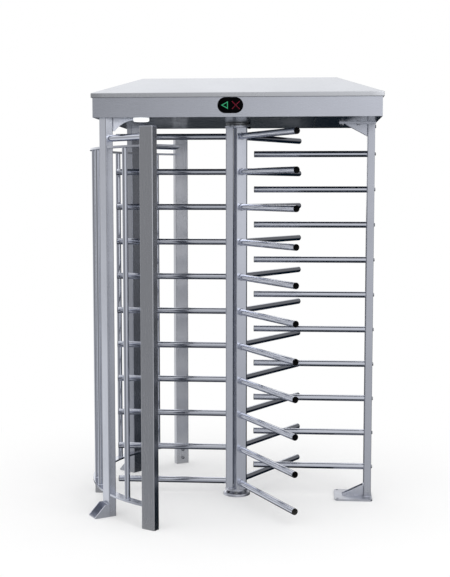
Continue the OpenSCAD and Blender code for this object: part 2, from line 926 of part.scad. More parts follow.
// Solenoid plunger at rest, with a slotted tongue over the pawl's link pin
module plunger(z) {
    tongue_x = link_rest[0] - tongue_w / 2;
    slot_half = link_r + 0.4;
    translate([0, plunger_y, z + ratchet_t + plunger_lift])
    difference() {
        union() {
            translate([tongue_x, -tongue_w / 2, -tongue_t / 2])
                cube([tongue_end - tongue_x, tongue_w, tongue_t]);
            translate([tongue_end - 2, 0, 0])
                rotate([0, 90, 0])
                cylinder(h = coil_l + 12, r = plunger_r);
        }
        translate([link_rest[0] - slot_half, -5, -tongue_t / 2 - 1]) cube([2 * slot_half, 10, tongue_t + 2]);
    }
}

// Plunger of the entry solenoid
module entry_plunger() {
    color("gainsboro") plunger(upper_ratchet_z);
}

// Plunger of the exit solenoid
module exit_plunger() {
    color("gainsboro") mirror([1, 0, 0]) plunger(lower_ratchet_z);
}

// Solenoid coil on its raised bracket
module solenoid(z) {
    axis_z = z + ratchet_t + plunger_lift;
    half = coil_w / 2;
    leg_h = axis_z - half - base_top;
    translate([coil_x, plunger_y, 0])
    difference() {
        union() {
            translate([0, -half, axis_z - half]) cube([coil_l, coil_w, coil_w]);
            for (y = [-half, half - coil_leg_t])
                translate([0, y, base_top]) cube([coil_l, coil_leg_t, leg_h + 1]);
        }
        translate([-1, 0, axis_z]) rotate([0, 90, 0]) cylinder(h = coil_l - 2, r = plunger_r + pin_gap);
    }
}

// The two solenoids
module solenoids() {
    color("royalblue") {
        solenoid(upper_ratchet_z);
        mirror([1, 0, 0]) solenoid(lower_ratchet_z);
    }
}

// Threaded proximity sensor that looks down at the magnet
module position_sensor() {
    color([0.15, 0.15, 0.17])
    rotate([0, 0, magnet_angle])
    translate([magnet_ring, 0, 0])
    union() {
        translate([0, 0, sensor_z]) cylinder(h = sensor_l, r = sensor_r);
        translate([0, 0, pan_top]) cylinder(h = sensor_nut_h, r = hex_r, $fn = 6);
    }
}

// Plate across the main beams that carries the drive head
module drive_base_plate() {
    color("lightslategray")
    difference() {
        translate([-base_half_x, -base_half_y, beam_top])
            cube([2 * base_half_x, 2 * base_half_y, base_t]);
        translate([0, 0, beam_top - 1]) cylinder(h = base_t + 2, r = base_bore_r);
        for (a = [45:90:315])
            rotate([0, 0, a])
            translate([housing_bolt_r, 0, beam_top - 1])
            cylinder(h = base_t + 2, r = small_shank_r + hole_gap);
        for (x = [-base_bolt_x, base_bolt_x], y = [-beam_y, beam_y])
            translate([x, y, beam_top - 1]) cylinder(h = base_t + 2, r = shank_r + hole_gap);
    }
}

// Canopy

// Upright holes for the bolts that hold the canopy to its brackets
module canopy_bolt_holes() {
    for (p = concat(head_bolts, left_bolts))
        translate([p[0], p[1], canopy_z - 20]) cylinder(h = 60, r = shank_r + hole_gap);
}

// Rectangular beam, open at both ends along the given length
module beam(x0, y0, w, d, along_x) {
    wall = 3;
    difference() {
        translate([x0, y0, pan_top]) cube([w, d, beam_h]);
        if (along_x)
            translate([x0 - 1, y0 + wall, pan_top + wall]) cube([w + 2, d - 2 * wall, beam_h - 2 * wall]);
        else
            translate([x0 + wall, y0 - 1, pan_top + wall]) cube([w - 2 * wall, d + 2, beam_h - 2 * wall]);
    }
}

// Welded beams inside the canopy: two along X, two across, and pads over the bracket bolts
module top_frame() {
    cross_l = canopy_d - 2 * sheet;
    right_cross = inner_x1 - cross_w;
    left_inner = inner_x0 + cross_w;
    color("lightslategray") {
        for (y = [-beam_y, beam_y])
            difference() {
                beam(left_inner, y - beam_w / 2, right_cross - left_inner, beam_w, true);
                for (x = [-base_bolt_x, base_bolt_x])
                    translate([x, y, beam_top - 5]) cylinder(h = 10, r = shank_r + hole_gap);
            }
        difference() {
            union() {
                beam(inner_x0, -cross_l / 2, cross_w, cross_l, false);
                for (s = [-1, 1])
                    translate([left_inner, s > 0 ? left_pad_y[0] : -left_pad_y[1], pan_top])
                    cube([left_pad_l, left_pad_y[1] - left_pad_y[0], pad_t]);
            }
            canopy_bolt_holes();
        }
        difference() {
            union() {
                beam(right_cross, -cross_l / 2, cross_w, cross_l, false);
                translate([right_pad_x, -beam_w, pan_top])
                    cube([right_cross - right_pad_x, 2 * beam_w, pad_t]);
            }
            canopy_bolt_holes();
        }
    }
}

// Ceiling sheet in two panels that meet at a seam
module ceiling_panels() {
    inner_d = canopy_d - 2 * sheet - 0.4;
    color([0.45, 0.46, 0.48])
    difference() {
        union() {
            translate([inner_x0 + 0.2, -inner_d / 2, canopy_z])
                cube([seam_x - inner_x0 - 0.2, inner_d, sheet]);
            translate([seam_x + seam_gap, -inner_d / 2, canopy_z])
                cube([inner_x1 - seam_x - seam_gap - 0.2, inner_d, sheet]);
        }
        translate([0, 0, canopy_z - 1]) cylinder(h = sheet + 2, r = ceiling_bore_r);
        rotate([0, 0, magnet_angle])
            translate([magnet_ring, 0, canopy_z - 1])
            cylinder(h = sheet + 2, r = sensor_r + hole_gap);
        translate([lamp_x, lamp_y, canopy_z - 1]) cylinder(h = sheet + 2, r = lamp_neck_r + hole_gap);
        canopy_bolt_holes();
    }
}

// A flat shape with two round ends, standing in the XZ plane and growing along +Y
module pill(w, h, t) {
    rotate([-90, 0, 0])
    union() {
        translate([-(w - h) / 2, -h / 2, 0]) cube([w - h, h, t]);
        for (s = [-1, 1])
            translate([s * (w - h) / 2, 0, 0]) cylinder(h = t, d = h);
    }
}

// Long fascia panel, folded in along its top edge, with the indicator's opening at the given place
module long_fascia(opening_x) {
    difference() {
        union() {
            translate([canopy_x0, -half_d, canopy_z]) cube([canopy_w, sheet, fascia_h]);
            translate([canopy_x0, -half_d, fascia_top - sheet]) cube([canopy_w, return_w, sheet]);
        }
        translate([opening_x, -half_d - 1, pill_z]) pill(pill_w + 0.6, pill_h + 0.6, sheet + 2);
    }
}

// Short fascia panel at the left end, between the long ones, with a hole for its lock
module short_fascia() {
    inner_l = canopy_d - 2 * sheet - 0.2;
    fold_l = canopy_d - 2 * return_w - 0.2;
    difference() {
        union() {
            translate([canopy_x0, -inner_l / 2, canopy_z]) cube([sheet, inner_l, fascia_h - sheet]);
            translate([canopy_x0, -fold_l / 2, fascia_top - sheet]) cube([return_w, fold_l, sheet]);
        }
        translate([canopy_x0 - 1, lock_y, lock_z])
            rotate([0, 90, 0])
            cylinder(h = sheet + 2, r = lock_barrel_r + hole_gap);
    }
}

// The same shape at the canopy's other end
module other_end() {
    translate([2 * canopy_cx, 0, 0]) mirror([1, 0, 0]) children();
}

// The four fascia panels
module canopy_fascia() {
    color([0.66, 0.67, 0.7]) {
        long_fascia(0);
        rotate([0, 0, 180]) translate([-2 * canopy_cx, 0, 0]) long_fascia(2 * canopy_cx);
        short_fascia();
        other_end() short_fascia();
    }
}

// Rubber seal on the fascia's folded edge, shaped to the lid above it
module lid_seal() {
    w = 10;
    color([0.08, 0.08, 0.08])
    intersection() {
        difference() {
            translate([canopy_x0 + 1, -half_d + 1, fascia_top]) cube([canopy_w - 2, canopy_d - 2, 16]);
            translate([canopy_x0 + 1 + w, -half_d + 1 + w, fascia_top - 1])
                cube([canopy_w - 2 - 2 * w, canopy_d - 2 - 2 * w, 18]);
        }
        translate([0, 0, -0.3]) roof_block(sheet, fascia_top - 1);
    }
}

// Hook that hangs inside the left end of the lid, for the lock's cam to hold
module striker() {
    x = canopy_x0 + striker_x;
    slope_z = eaves_z + (striker_x + lid_overhang) * roof_rise / roof_inset - sheet;
    translate([x, striker_y, striker_lip_z]) cube([sheet, striker_w, slope_z - striker_lip_z + 1]);
    translate([x - striker_lip_l, striker_y, striker_lip_z])
        cube([striker_lip_l + 1, striker_w, striker_lip_t]);
}

// Hinged sheet lid with an upright lip, a low hipped roof and a hook for each lock
module roof_lid() {
    color([0.87, 0.88, 0.9])
    union() {
        difference() {
            roof_block(0, lid_lip_z);
            roof_block(sheet, lid_lip_z - 1);
        }
        striker();
        other_end() striker();
    }
}

// A hinge knuckle along X, between two distances from the hinge's left end
module knuckle(start, end, bore_r) {
    translate([start, hinge_y, hinge_z])
    rotate([0, 90, 0])
    difference() {
        cylinder(h = end - start, r = hinge_r);
        translate([0, 0, -1]) cylinder(h = end - start + 2, r = bore_r);
    }
}

// Hinge leaves on the lid, each with the middle knuckle
module lid_hinge_leaves() {
    plate_z = lid_lip_z + 1;
    middle_l = hinge_l - 2 * hinge_end_l - 1;
    color("gainsboro")
    for (x = hinge_starts)
        translate([x, 0, 0])
        difference() {
            union() {
                knuckle(hinge_end_l + 0.5, hinge_l - hinge_end_l - 0.5, hinge_pin_r + pin_gap);
                translate([0, half_d + lid_overhang, plate_z]) cube([hinge_l, leaf_t, lid_lip_h - 3]);
                translate([hinge_end_l + 0.5, half_d + lid_overhang, hinge_z])
                    cube([middle_l, leaf_t, plate_z - hinge_z + 1]);
            }
            translate([-1, hinge_y, hinge_z])
                rotate([0, 90, 0])
                cylinder(h = hinge_l + 2, r = hinge_pin_r + pin_gap);
        }
}

// Hinge leaves on the fascia, each with the two end knuckles
module frame_hinge_leaves() {
    shelf_z = hinge_z - hinge_r;
    color("gainsboro")
    for (x = hinge_starts)
        translate([x, 0, 0])
        union() {
            translate([0, half_d, shelf_z + leaf_t - leaf_h]) cube([hinge_l, leaf_t, leaf_h]);
            for (s = [0, hinge_l - hinge_end_l]) {
                translate([s, half_d, shelf_z]) cube([hinge_end_l, hinge_y - half_d, leaf_t]);
                knuckle(s, s + hinge_end_l, hinge_pin_r + 0.02);
            }
        }
}

// Hinge pins with a head at one end
module hinge_pins() {
    color("dimgray")
    for (x = hinge_starts)
        translate([x, hinge_y, hinge_z])
        rotate([0, 90, 0])
        union() {
            cylinder(h = hinge_l + 2, r = hinge_pin_r);
            translate([0, 0, -2]) cylinder(h = 2, r = hinge_pin_r + 2);
        }
}

// Barrel of the left lock, from its flange outside the fascia to its nut inside
module lock_barrel() {
    translate([canopy_x0, lock_y, lock_z])
    rotate([0, 90, 0])
    difference() {
        union() {
            translate([0, 0, -lock_flange_t]) cylinder(h = lock_flange_t, r = lock_flange_r);
            translate([0, 0, -1]) cylinder(h = lock_barrel_l + 1, r = lock_barrel_r);
            translate([0, 0, sheet]) cylinder(h = 4, r = lock_flange_r, $fn = 6);
        }
        translate([0, 0, -lock_flange_t - 1])
            cylinder(h = lock_flange_t + lock_barrel_l + 2, r = lock_core_r + pin_gap);
    }
}

// Keyed core of the left lock with its cam, turned up and clear of the lid's hook
module lock_core() {
    translate([canopy_x0, lock_y, lock_z])
    difference() {
        union() {
            rotate([0, 90, 0]) {
                translate([0, 0, -lock_flange_t])
                    cylinder(h = lock_flange_t + lock_cam_x + 1, r = lock_core_r);
                translate([0, 0, lock_cam_x]) cylinder(h = lock_cam_t, r = lock_cam_w / 2 + 1);
                translate([-lock_cam_l, 0, lock_cam_x]) cylinder(h = lock_cam_t, r = lock_cam_w / 2);
            }
            translate([lock_cam_x, -lock_cam_w / 2, 0]) cube([lock_cam_t, lock_cam_w, lock_cam_l]);
        }
        translate([-lock_flange_t - 1, -0.8, -4]) cube([5, 1.6, 8]);
    }
}

// Barrels of both locks
module lock_barrels() {
    color("gainsboro") {
        lock_barrel();
        other_end() lock_barrel();
    }
}

// Turning part of the left lock
module left_lock() {
    color("darkgray") lock_core();
}

// Turning part of the right lock
module right_lock() {
    color("darkgray") other_end() lock_core();
}

// Places a thing made for the entry side on both long fascias
module both_sides() {
    children();
    rotate([0, 0, 180]) children();
}

// Indicator units: a dark window in the fascia and the lamp box behind it
module indicator_units() {
    color([0.02, 0.02, 0.02])
    both_sides()
        union() {
            translate([0, -half_d - pill_proud, pill_z]) pill(pill_w, pill_h, pill_proud + sheet + 1);
            translate([-unit_w / 2, -half_d + sheet + 0.5, pill_z - unit_h / 2])
                cube([unit_w, unit_l, unit_h]);
        }
}

// Green direction arrows: an open triangle that points left
module indicator_arrows() {
    half = arrow_w / 2;
    color([0.1, 0.7, 0.35])
    both_sides()
        translate([arrow_x, -half_d - pill_proud, pill_z])
        rotate([90, 0, 0])
        linear_extrude(glyph_t)
        difference() {
            polygon([[-half, 0], [half, glyph_h / 2], [half, -glyph_h / 2]]);
            polygon([[2.1 * glyph_stroke - half, 0],
                     [half - glyph_stroke, glyph_h / 2 - 1.75 * glyph_stroke],
                     [half - glyph_stroke, 1.75 * glyph_stroke - glyph_h / 2]]);
        }
}

// Red crosses made of small round dots
module indicator_crosses() {
    y0 = -half_d - pill_proud;
    color([0.8, 0.1, 0.15])
    both_sides()
        for (i = [-4:4], s = [-1, 1])
            if (i != 0 || s > 0)
                translate([cross_x + i * dot_step, y0, pill_z + s * i * dot_step])
                rotate([90, 0, 0])
                cylinder(h = glyph_t, r = dot_r);
}

// Housing of the ceiling lamp
module lamp_housing() {
    color("white")
    translate([lamp_x, lamp_y, pan_top]) cylinder(h = lamp_body_h, r = lamp_body_r);
}

// Round diffuser of the ceiling lamp: a dish with a rounded rim under the ceiling sheet, and its neck
module lamp_lens() {
    flat_r = lamp_r - lamp_round;
    color([1, 1, 0.98])
    translate([lamp_x, lamp_y, canopy_z - lamp_h])
    union() {
        cylinder(h = lamp_h, r = flat_r);
        translate([0, 0, lamp_round]) cylinder(h = lamp_h - lamp_round, r = lamp_r);
        translate([0, 0, lamp_round]) rotate_extrude() translate([flat_r, 0]) circle(r = lamp_round);
        translate([0, 0, lamp_h - 1]) cylinder(h = sheet + 1, r = lamp_neck_r);
    }
}

// Control unit across the main beams
module control_box() {
    color([0.3, 0.32, 0.34])
    union() {
        translate([control_x, 0, beam_top]) round_bar(control_w, control_l, control_h, 8);
        translate([control_x, 0, beam_top + control_h])
            round_bar(control_w - 2 * control_lid_in, control_l - 2 * control_lid_in, control_lid_t, 8);
    }
}

// Power supply across the main beams
module power_supply() {
    color([0.75, 0.76, 0.78])
    union() {
        translate([supply_x, 0, beam_top]) round_bar(supply_w, supply_l, supply_h, 3);
        for (k = [-5:5])
            translate([supply_x - fin_l / 2, k * fin_pitch - fin_w / 2, beam_top + supply_h - 1])
            cube([fin_l, fin_w, fin_h + 1]);
    }
}

// Comb barrier

// Post on the right: entered by each bar from the left and bolted from the right
module right_post() {
    h = canopy_z - head_t - foot_t;
    color([0.74, 0.75, 0.78])
    difference() {
        translate([right_post_x + post_t / 2, 0, foot_t]) box_tube(post_t, post_w, h, post_wall, 4);
        for (k = [0:bar_count - 1])
            translate([right_post_x - 1, 0, first_bar_z + k * arm_pitch]) rotate([0, 90, 0]) {
                cylinder(h = post_wall + 2, r = tube_r + fit_gap);
                cylinder(h = post_t + 2, r = shank_r + hole_gap);
            }
    }
}

// Foot plate with four anchor holes and its gussets
module right_foot() {
    color([0.72, 0.73, 0.75])
    difference() {
        union() {
            translate([foot_cx, 0, 0])
                round_bar(foot_x1 - foot_x0, 2 * foot_half_y, foot_t, foot_corner);
            translate([right_post_x, 0, foot_t - eps])
                gusset_pair(foot_gusset_l, foot_gusset_h);
        }
        for (x = [-1, 1], y = [-1, 1])
            translate([foot_cx + x * foot_hole_dx / 2, y * foot_hole_dy / 2, -1])
            cylinder(h = foot_t + 2, d = anchor_hole_d);
    }
}

// Head plate under the canopy with its gussets
module right_head_bracket() {
    z0 = canopy_z - head_t;
    color([0.72, 0.73, 0.75])
    difference() {
        union() {
            translate([head_x0, -head_half_y, z0]) cube([head_x1 - head_x0, 2 * head_half_y, head_t]);
            translate([right_post_x, 0, z0 + eps])
                mirror([0, 0, 1])
                gusset_pair(head_gusset_l, head_gusset_h);
        }
        canopy_bolt_holes();
    }
}

// Horizontal bars of the comb, each with a threaded end piece inside the post
module barrier_bars() {
    end_x = right_post_out - post_wall;
    start_x = bar_free_x + plug_head;
    nut_l = 20;
    color("lightgray")
    for (k = [0:bar_count - 1])
        translate([0, 0, first_bar_z + k * arm_pitch]) rotate([0, 90, 0])
        difference() {
            translate([0, 0, start_x]) cylinder(h = end_x - start_x, r = tube_r);
            translate([0, 0, start_x - 1]) cylinder(h = end_x - nut_l - start_x + 1, r = tube_r - tube_wall);
            translate([0, 0, start_x]) cylinder(h = end_x - start_x + 1, r = shank_r + 0.05);
        }
}

// Plugs in the free ends of the comb bars
module barrier_plugs() {
    color("gray")
    for (k = [0:bar_count - 1])
        translate([bar_free_x, 0, first_bar_z + k * arm_pitch])
        rotate([0, 0, 180])
        x_plug(tube_r, tube_wall);
}

// Cage

// One cage post, standing on the floor at its angle
module cage_post(angle, h) {
    rotate([0, 0, angle]) translate([cage_r, 0, 0]) box_tube(post_t, post_w, h, post_wall, 4);
}

// The two posts at the cage's ends, which stop short of the canopy
module end_posts() {
    color([0.55, 0.55, 0.57])
    for (a = end_angles) cage_post(a, end_post_h - cap_t);
}

// The two cage posts that carry the canopy
module cage_posts() {
    color([0.67, 0.68, 0.71])
    for (a = carry_angles) cage_post(a, canopy_z);
}

// Caps on the free-standing posts
module post_caps() {
    color([0.6, 0.61, 0.63])
    for (a = end_angles)
        rotate([0, 0, a]) translate([cage_r, 0, end_post_h - cap_t])
        union() {
            round_bar(post_t, post_w, cap_t, 4);
            translate([0, 0, -12])
                round_bar(post_t - 2 * post_wall - 0.6, post_w - 2 * post_wall - 0.6, 12 + eps, 2);
        }
}

// Curved flat rail that laps the inside of the posts
module cage_rail(z) {
    arc = 2 * cage_half_arc - 2 * rail_lap;
    difference() {
        rotate([0, 0, end_angles[0] + rail_lap])
            rotate_extrude(angle = arc, $fn = 180)
            translate([rail_in_r, z])
            square([rail_out_r - rail_in_r, rail_t]);
        for (a = concat(carry_angles, end_angles)) post_space(a, 0.1);
    }
}

// The upper and lower cage rails
module cage_rails() {
    color([0.7, 0.71, 0.74]) {
        cage_rail(upper_rail_z);
        cage_rail(lower_rail_z);
    }
}

// Upright tubes between the rails: five between the carrying posts, one in each end bay
module upright_tubes() {
    z0 = lower_rail_z + rail_t;
    step = 2 * cage_post_angle / 6;
    bay = (cage_half_arc + cage_post_angle) / 2;
    for (a = concat([for (k = [-2:2]) 180 + k * step], [180 - bay, 180 + bay]))
        rotate([0, 0, a])
        translate([cage_tube_ring, 0, z0])
        difference() {
            cylinder(h = upper_rail_z - z0, r = cage_tube_r);
            translate([0, 0, -1]) cylinder(h = upper_rail_z - z0 + 2, r = cage_tube_r - 2);
        }
}

// Straight tubes that tie the end posts to the carrying posts
module tie_tubes() {
    bay = (cage_half_arc + cage_post_angle) / 2;
    half_gap = (cage_half_arc - cage_post_angle) / 2;
    chord_r = cage_r * cos(half_gap);
    half_l = cage_r * sin(half_gap);
    for (s = [-1, 1])
        difference() {
            rotate([0, 0, 180 + s * bay])
                translate([chord_r, -half_l, tie_z])
                rotate([0, 0, 90])
                x_tube(2 * half_l, tube_r, tube_wall);
            post_space(180 + s * cage_half_arc, 0);
            post_space(180 + s * cage_post_angle, 0);
        }
}

// All the round tubes of the cage
module cage_tubes() {
    color("lightgray") {
        upright_tubes();
        tie_tubes();
    }
}

// Brackets outside the feet of the carrying posts and inside their heads
module cage_brackets() {
    color([0.66, 0.68, 0.7])
    for (a = carry_angles) rotate([0, 0, a]) {
        translate([post_out_r, 0, 0]) angle_bracket();
        difference() {
            translate([post_in_r, 0, canopy_z]) rotate([0, 180, 0]) arc_bracket();
            rotate([0, 0, -a]) canopy_bolt_holes();
        }
    }
}

// Short leg under the middle of the lower rail
module stub_leg() {
    color([0.5, 0.51, 0.53])
    rotate([0, 0, 180])
        translate([stub_in_r + post_t / 2, 0, 0])
        box_tube(post_t, post_w, lower_rail_z, post_wall, 4);
}

// Fasteners of the fixed structure
module frame_bolts() {
    color([0.25, 0.25, 0.27]) {
        // A bolt through the post's outer wall into each comb bar
        for (k = [0:bar_count - 1])
            translate([right_post_out, 0, first_bar_z + k * arm_pitch])
            rotate([0, 90, 0])
            hex_bolt(20);
        // A bolt near the top of the right post
        translate([right_post_out, 0, post_top_bolt_z])
            rotate([0, 90, 0])
            cylinder(h = hex_h, r = hex_r, $fn = 6);
        // Canopy bolts with their nuts
        for (p = head_bolts)
            translate([p[0], p[1], canopy_z - head_t])
            rotate([180, 0, 0])
            canopy_bolt(head_t + sheet + pad_t);
        for (p = left_bolts)
            translate([p[0], p[1], canopy_z - bracket_t])
            rotate([180, 0, 0])
            canopy_bolt(bracket_t + sheet + pad_t);
        // Anchor bolts in the floor flange
        for (a = flange_bolt_angles)
            rotate([0, 0, a])
            translate([flange_bolt_r, 0, flange_h])
            hex_bolt(flange_h, hex_r, flange_bolt_h, stud_r);
        // Bolts on the inner faces of the end posts and of the stub leg
        inner_face_bolt(end_angles[1], post_in_r, front_end_bolt_z);
        for (z = back_end_bolt_z) inner_face_bolt(end_angles[0], post_in_r, z);
        inner_face_bolt(180, stub_in_r, stub_bolt_z);
        // Bolts of the bearing housing and of the base plate
        for (a = [45:90:315])
            rotate([0, 0, a])
            translate([housing_bolt_r, 0, base_top + housing_flange_t])
            hex_bolt(housing_flange_t + base_t, small_hex_r, small_hex_h, small_shank_r);
        for (x = [-base_bolt_x, base_bolt_x], y = [-beam_y, beam_y])
            translate([x, y, base_top]) hex_bolt(base_t + 3);
    }
}

// A bolt with a nut at the end of its clamped length
module canopy_bolt(grip) {
    union() {
        hex_bolt(grip + bolt_end);
        translate([0, 0, -grip - nut_h]) cylinder(h = nut_h, r = hex_r, $fn = 6);
    }
}

// A bolt head on the face that a post or leg turns to the rotor
module inner_face_bolt(angle, face_r, z) {
    rotate([0, 0, angle])
        translate([face_r, 0, z])
        rotate([0, -90, 0])
        cylinder(h = hex_h, r = hex_r, $fn = 6);
}

floor_flange();
pivot_pin();
pivot_bush();
rotor_bottom_plate();
rotor_columns();
rotor_arms();
arm_plugs();
rotor_top_plate();
rotor_bolts();
position_magnet();
drive_shaft();
shaft_collars();
bearing_inner_race();
damper_gear();
exit_ratchet();
entry_ratchet();
bearing_outer_race();
bearing_housing();
damper_body();
damper_pinion();
entry_pawl();
exit_pawl();
pawl_pivots();
pawl_springs();
entry_plunger();
exit_plunger();
solenoids();
position_sensor();
drive_base_plate();
top_frame();
ceiling_panels();
canopy_fascia();
lid_seal();
roof_lid();
lid_hinge_leaves();
frame_hinge_leaves();
hinge_pins();
left_lock();
right_lock();
lock_barrels();
indicator_units();
indicator_arrows();
indicator_crosses();
lamp_housing();
lamp_lens();
control_box();
power_supply();
right_post();
right_foot();
right_head_bracket();
barrier_bars();
barrier_plugs();
end_posts();
cage_posts();
post_caps();
cage_rails();
cage_tubes();
cage_brackets();
stub_leg();
frame_bolts();
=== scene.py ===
"""Looks of a full height turnstile, laid out as an add-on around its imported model."""
import math

import bmesh
import bpy
import numpy as np
from bpy.props import FloatProperty, FloatVectorProperty, IntProperty, PointerProperty
from mathutils import Matrix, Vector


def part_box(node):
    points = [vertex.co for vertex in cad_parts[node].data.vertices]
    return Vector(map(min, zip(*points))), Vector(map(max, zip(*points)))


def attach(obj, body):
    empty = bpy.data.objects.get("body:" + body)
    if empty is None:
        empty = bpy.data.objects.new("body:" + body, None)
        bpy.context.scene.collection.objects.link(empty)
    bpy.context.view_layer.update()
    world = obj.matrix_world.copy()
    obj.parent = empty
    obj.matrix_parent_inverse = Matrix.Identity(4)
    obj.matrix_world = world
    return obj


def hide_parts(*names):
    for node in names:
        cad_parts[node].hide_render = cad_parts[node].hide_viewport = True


bl_info = {
    "name": "Full Height Turnstile",
    "version": (1, 0, 0),
    "blender": (4, 5, 0),
    "location": "3D View > Sidebar > Turnstile",
    "description": "Builds the visible pieces and finishes of a full height turnstile",
    "category": "Object",
}

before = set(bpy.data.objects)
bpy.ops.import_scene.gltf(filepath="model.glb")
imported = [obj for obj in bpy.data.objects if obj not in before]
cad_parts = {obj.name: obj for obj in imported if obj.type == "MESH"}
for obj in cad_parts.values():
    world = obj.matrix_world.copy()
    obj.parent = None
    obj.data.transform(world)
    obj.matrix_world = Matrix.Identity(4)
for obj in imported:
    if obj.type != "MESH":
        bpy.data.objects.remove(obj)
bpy.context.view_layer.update()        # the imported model's bodies, nodes, joints and record

# Real sizes of the machine, in metres
ARM_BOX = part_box("rotor_arms")
PLUG_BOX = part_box("arm_plugs")
POST_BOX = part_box("right_post")
LENS_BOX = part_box("lamp_lens")
UNIT_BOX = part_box("indicator_units")
CONTROL_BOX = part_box("control_box")
SUPPLY_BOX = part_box("power_supply")
TUBE_R = 0.01685
WING_ANGLES = np.radians([180.0, -60.0, 60.0])
COLUMN_MIDDLE = 0.039
COLUMN_FACE = 0.059
COLUMN_D = 0.040
COLUMN_W = 0.060
COLUMN_Z = (0.038, 2.022)
STUD_RING = 0.042
EDGE_ROUND = 0.004
POST_T = 0.040
POST_W = 0.080
CAGE_R = 0.775
CARRY_ANGLES = np.radians([145.0, 215.0])
END_ANGLES = np.radians([120.0, 240.0])
UPRIGHT_ANGLES = np.radians([132.5, 156.667, 168.333, 180.0, 191.667, 203.333, 227.5])
UPRIGHT_RING = 0.7685
UPRIGHT_R = 0.014
RAIL_Z = (0.122, 1.895)      # ends of the upright tubes, at the lower and the upper rail
STUB_R = 0.770
STUB_TOP = 0.112
FOOT_Z = 0.010
HEAD_Z = 2.038
FOOT_GUSSET = (0.118, 0.058)  # reach along the plate and height of the weld on the post
HEAD_GUSSET = (0.113, -0.060)
GUSSET_HALF = 0.021
BRACKET_WELD = (0.004, 0.062)
CANOPY_Z = 2.046
FASCIA_Y = 0.510
BRACKET_T = 0.005
HEAD_PLATE_T = 0.008
SHEET = 0.002
LID_MIDDLE_X = 0.029
LID_HALF = (0.727, 0.518)
LID_Z = (2.144, 2.166, 2.258)  # hem, eaves and flat top
LID_RUN = 0.228
STRIKER_Y = (-0.388, -0.356)
STRIKER_Z = (2.106, 2.109, 2.1765)  # underside, top of the hook and top of the plate
STRIKER_IN = (0.032, 0.034, 0.024)  # plate's faces and hook's tip, in from the lid's side

# The photograph's camera, found from points of the machine, and its frame in pixels
PHOTO_HEIGHT = 577
FOCAL_PX = 1092.4
CAMERA_PLACE = (0.3908, -5.9537, 1.6818)
CAMERA_UP = (-0.00682, 0.08884, 0.99604)
CAMERA_AHEAD = (-0.0761, 0.9931, -0.0891)


class TurnstileSizes(bpy.types.PropertyGroup):
    """Sizes of the pieces that are made here."""
    arm_count: IntProperty(
        name="Arms on a wing", description="Arms on each of the three wings", default=11)
    arm_pitch: FloatProperty(
        name="Arm pitch", description="Height from one arm of a wing to the next",
        default=0.19, unit="LENGTH")
    first_arm_z: FloatProperty(
        name="Lowest arm", description="Height of the lowest arm's axis",
        default=ARM_BOX[0].z + TUBE_R, unit="LENGTH")
    arm_tip: FloatProperty(
        name="Arm reach", description="Distance from the axis to the end of an arm",
        default=-PLUG_BOX[0].x, unit="LENGTH")
    weld_radius: FloatProperty(
        name="Weld radius", description="Half the width of a weld bead", default=0.0024, unit="LENGTH")
    weld_ripple: FloatProperty(
        name="Weld ripple", description="Distance between two ripples of a weld",
        default=0.0028, unit="LENGTH")
    bend_radius: FloatProperty(
        name="Bend radius", description="Outer radius of the bends in the canopy sheets",
        default=0.004, unit="LENGTH")
    sheet_sag: FloatProperty(
        name="Sheet sag", description="How far the flat top of the lid wanders",
        default=0.0006, unit="LENGTH")


class TurnstileFinish(bpy.types.PropertyGroup):
    """Colours and roughness of the finishes."""
    steel: FloatVectorProperty(
        name="Steel", description="Brushed stainless steel", subtype="COLOR", size=3,
        default=(0.56, 0.582, 0.655), min=0.0, max=1.0)
    roof: FloatVectorProperty(
        name="Lid", description="Bead blasted sheet of the lid", subtype="COLOR", size=3,
        default=(0.56, 0.575, 0.612), min=0.0, max=1.0)
    # Painted shade and painted reflection: the ceiling's colour is made much darker than the canopy's own
    # steel, standing in for the shade under the canopy and the dark ground it mirrors, not for a darker
    # mill finish.
    ceiling: FloatVectorProperty(
        name="Ceiling", description="Dark mill finish of the ceiling sheet", subtype="COLOR", size=3,
        default=(0.218, 0.248, 0.288), min=0.0, max=1.0)
    green: FloatVectorProperty(
        name="Green", description="Light of the direction arrow", subtype="COLOR", size=3,
        default=(0.008, 0.20, 0.085), min=0.0, max=1.0)
    red: FloatVectorProperty(
        name="Red", description="Light of the stop cross", subtype="COLOR", size=3,
        default=(0.26, 0.007, 0.032), min=0.0, max=1.0)
    roughness: FloatProperty(
        name="Roughness", description="Roughness of the brushed steel", default=0.20, min=0.05, max=1.0,
        subtype="FACTOR")


class TurnstileStudio(bpy.types.PropertyGroup):
    """Levels of the studio light."""
    plain_level: FloatProperty(
        name="Plain level", description="Even light of the room on matt surfaces", default=0.96, min=0.0)
    key_power: FloatProperty(
        name="Key", description="Power of the lamp on the right", default=46.0, unit="POWER", min=0.0)
    fill_power: FloatProperty(
        name="Fill", description="Power of the lamp on the left", default=14.0, unit="POWER", min=0.0)
    top_power: FloatProperty(
        name="Top", description="Power of the lamp above", default=14.0, unit="POWER", min=0.0)
    floor_colour: FloatVectorProperty(
        name="Floor", description="Colour of the pale floor", subtype="COLOR", size=3,
        default=(0.965, 0.965, 0.965), min=0.0, max=1.0)


# Surfaces: each is an array of points, rows by columns, worked out as a whole

SHARP_ABOVE = math.radians(32)   # edges that turn by more stay sharp
RIGHT = (1.0, 0.0, 0.0)
LEFT = (-1.0, 0.0, 0.0)
FRONT = (0.0, -1.0, 0.0)
REAR = (0.0, 1.0, 0.0)
UP = (0.0, 0.0, 1.0)
DOWN = (0.0, 0.0, -1.0)


def unit(vectors):
    """Vectors made one long."""
    vectors = np.asarray(vectors, float)
    return vectors / np.linalg.norm(vectors, axis=-1, keepdims=True)


def square_to(direction):
    """A unit vector square to a unit direction: a level one, unless the direction is nearly upright."""
    return unit(np.cross(REAR if abs(direction[2]) > 0.9 else UP, direction))


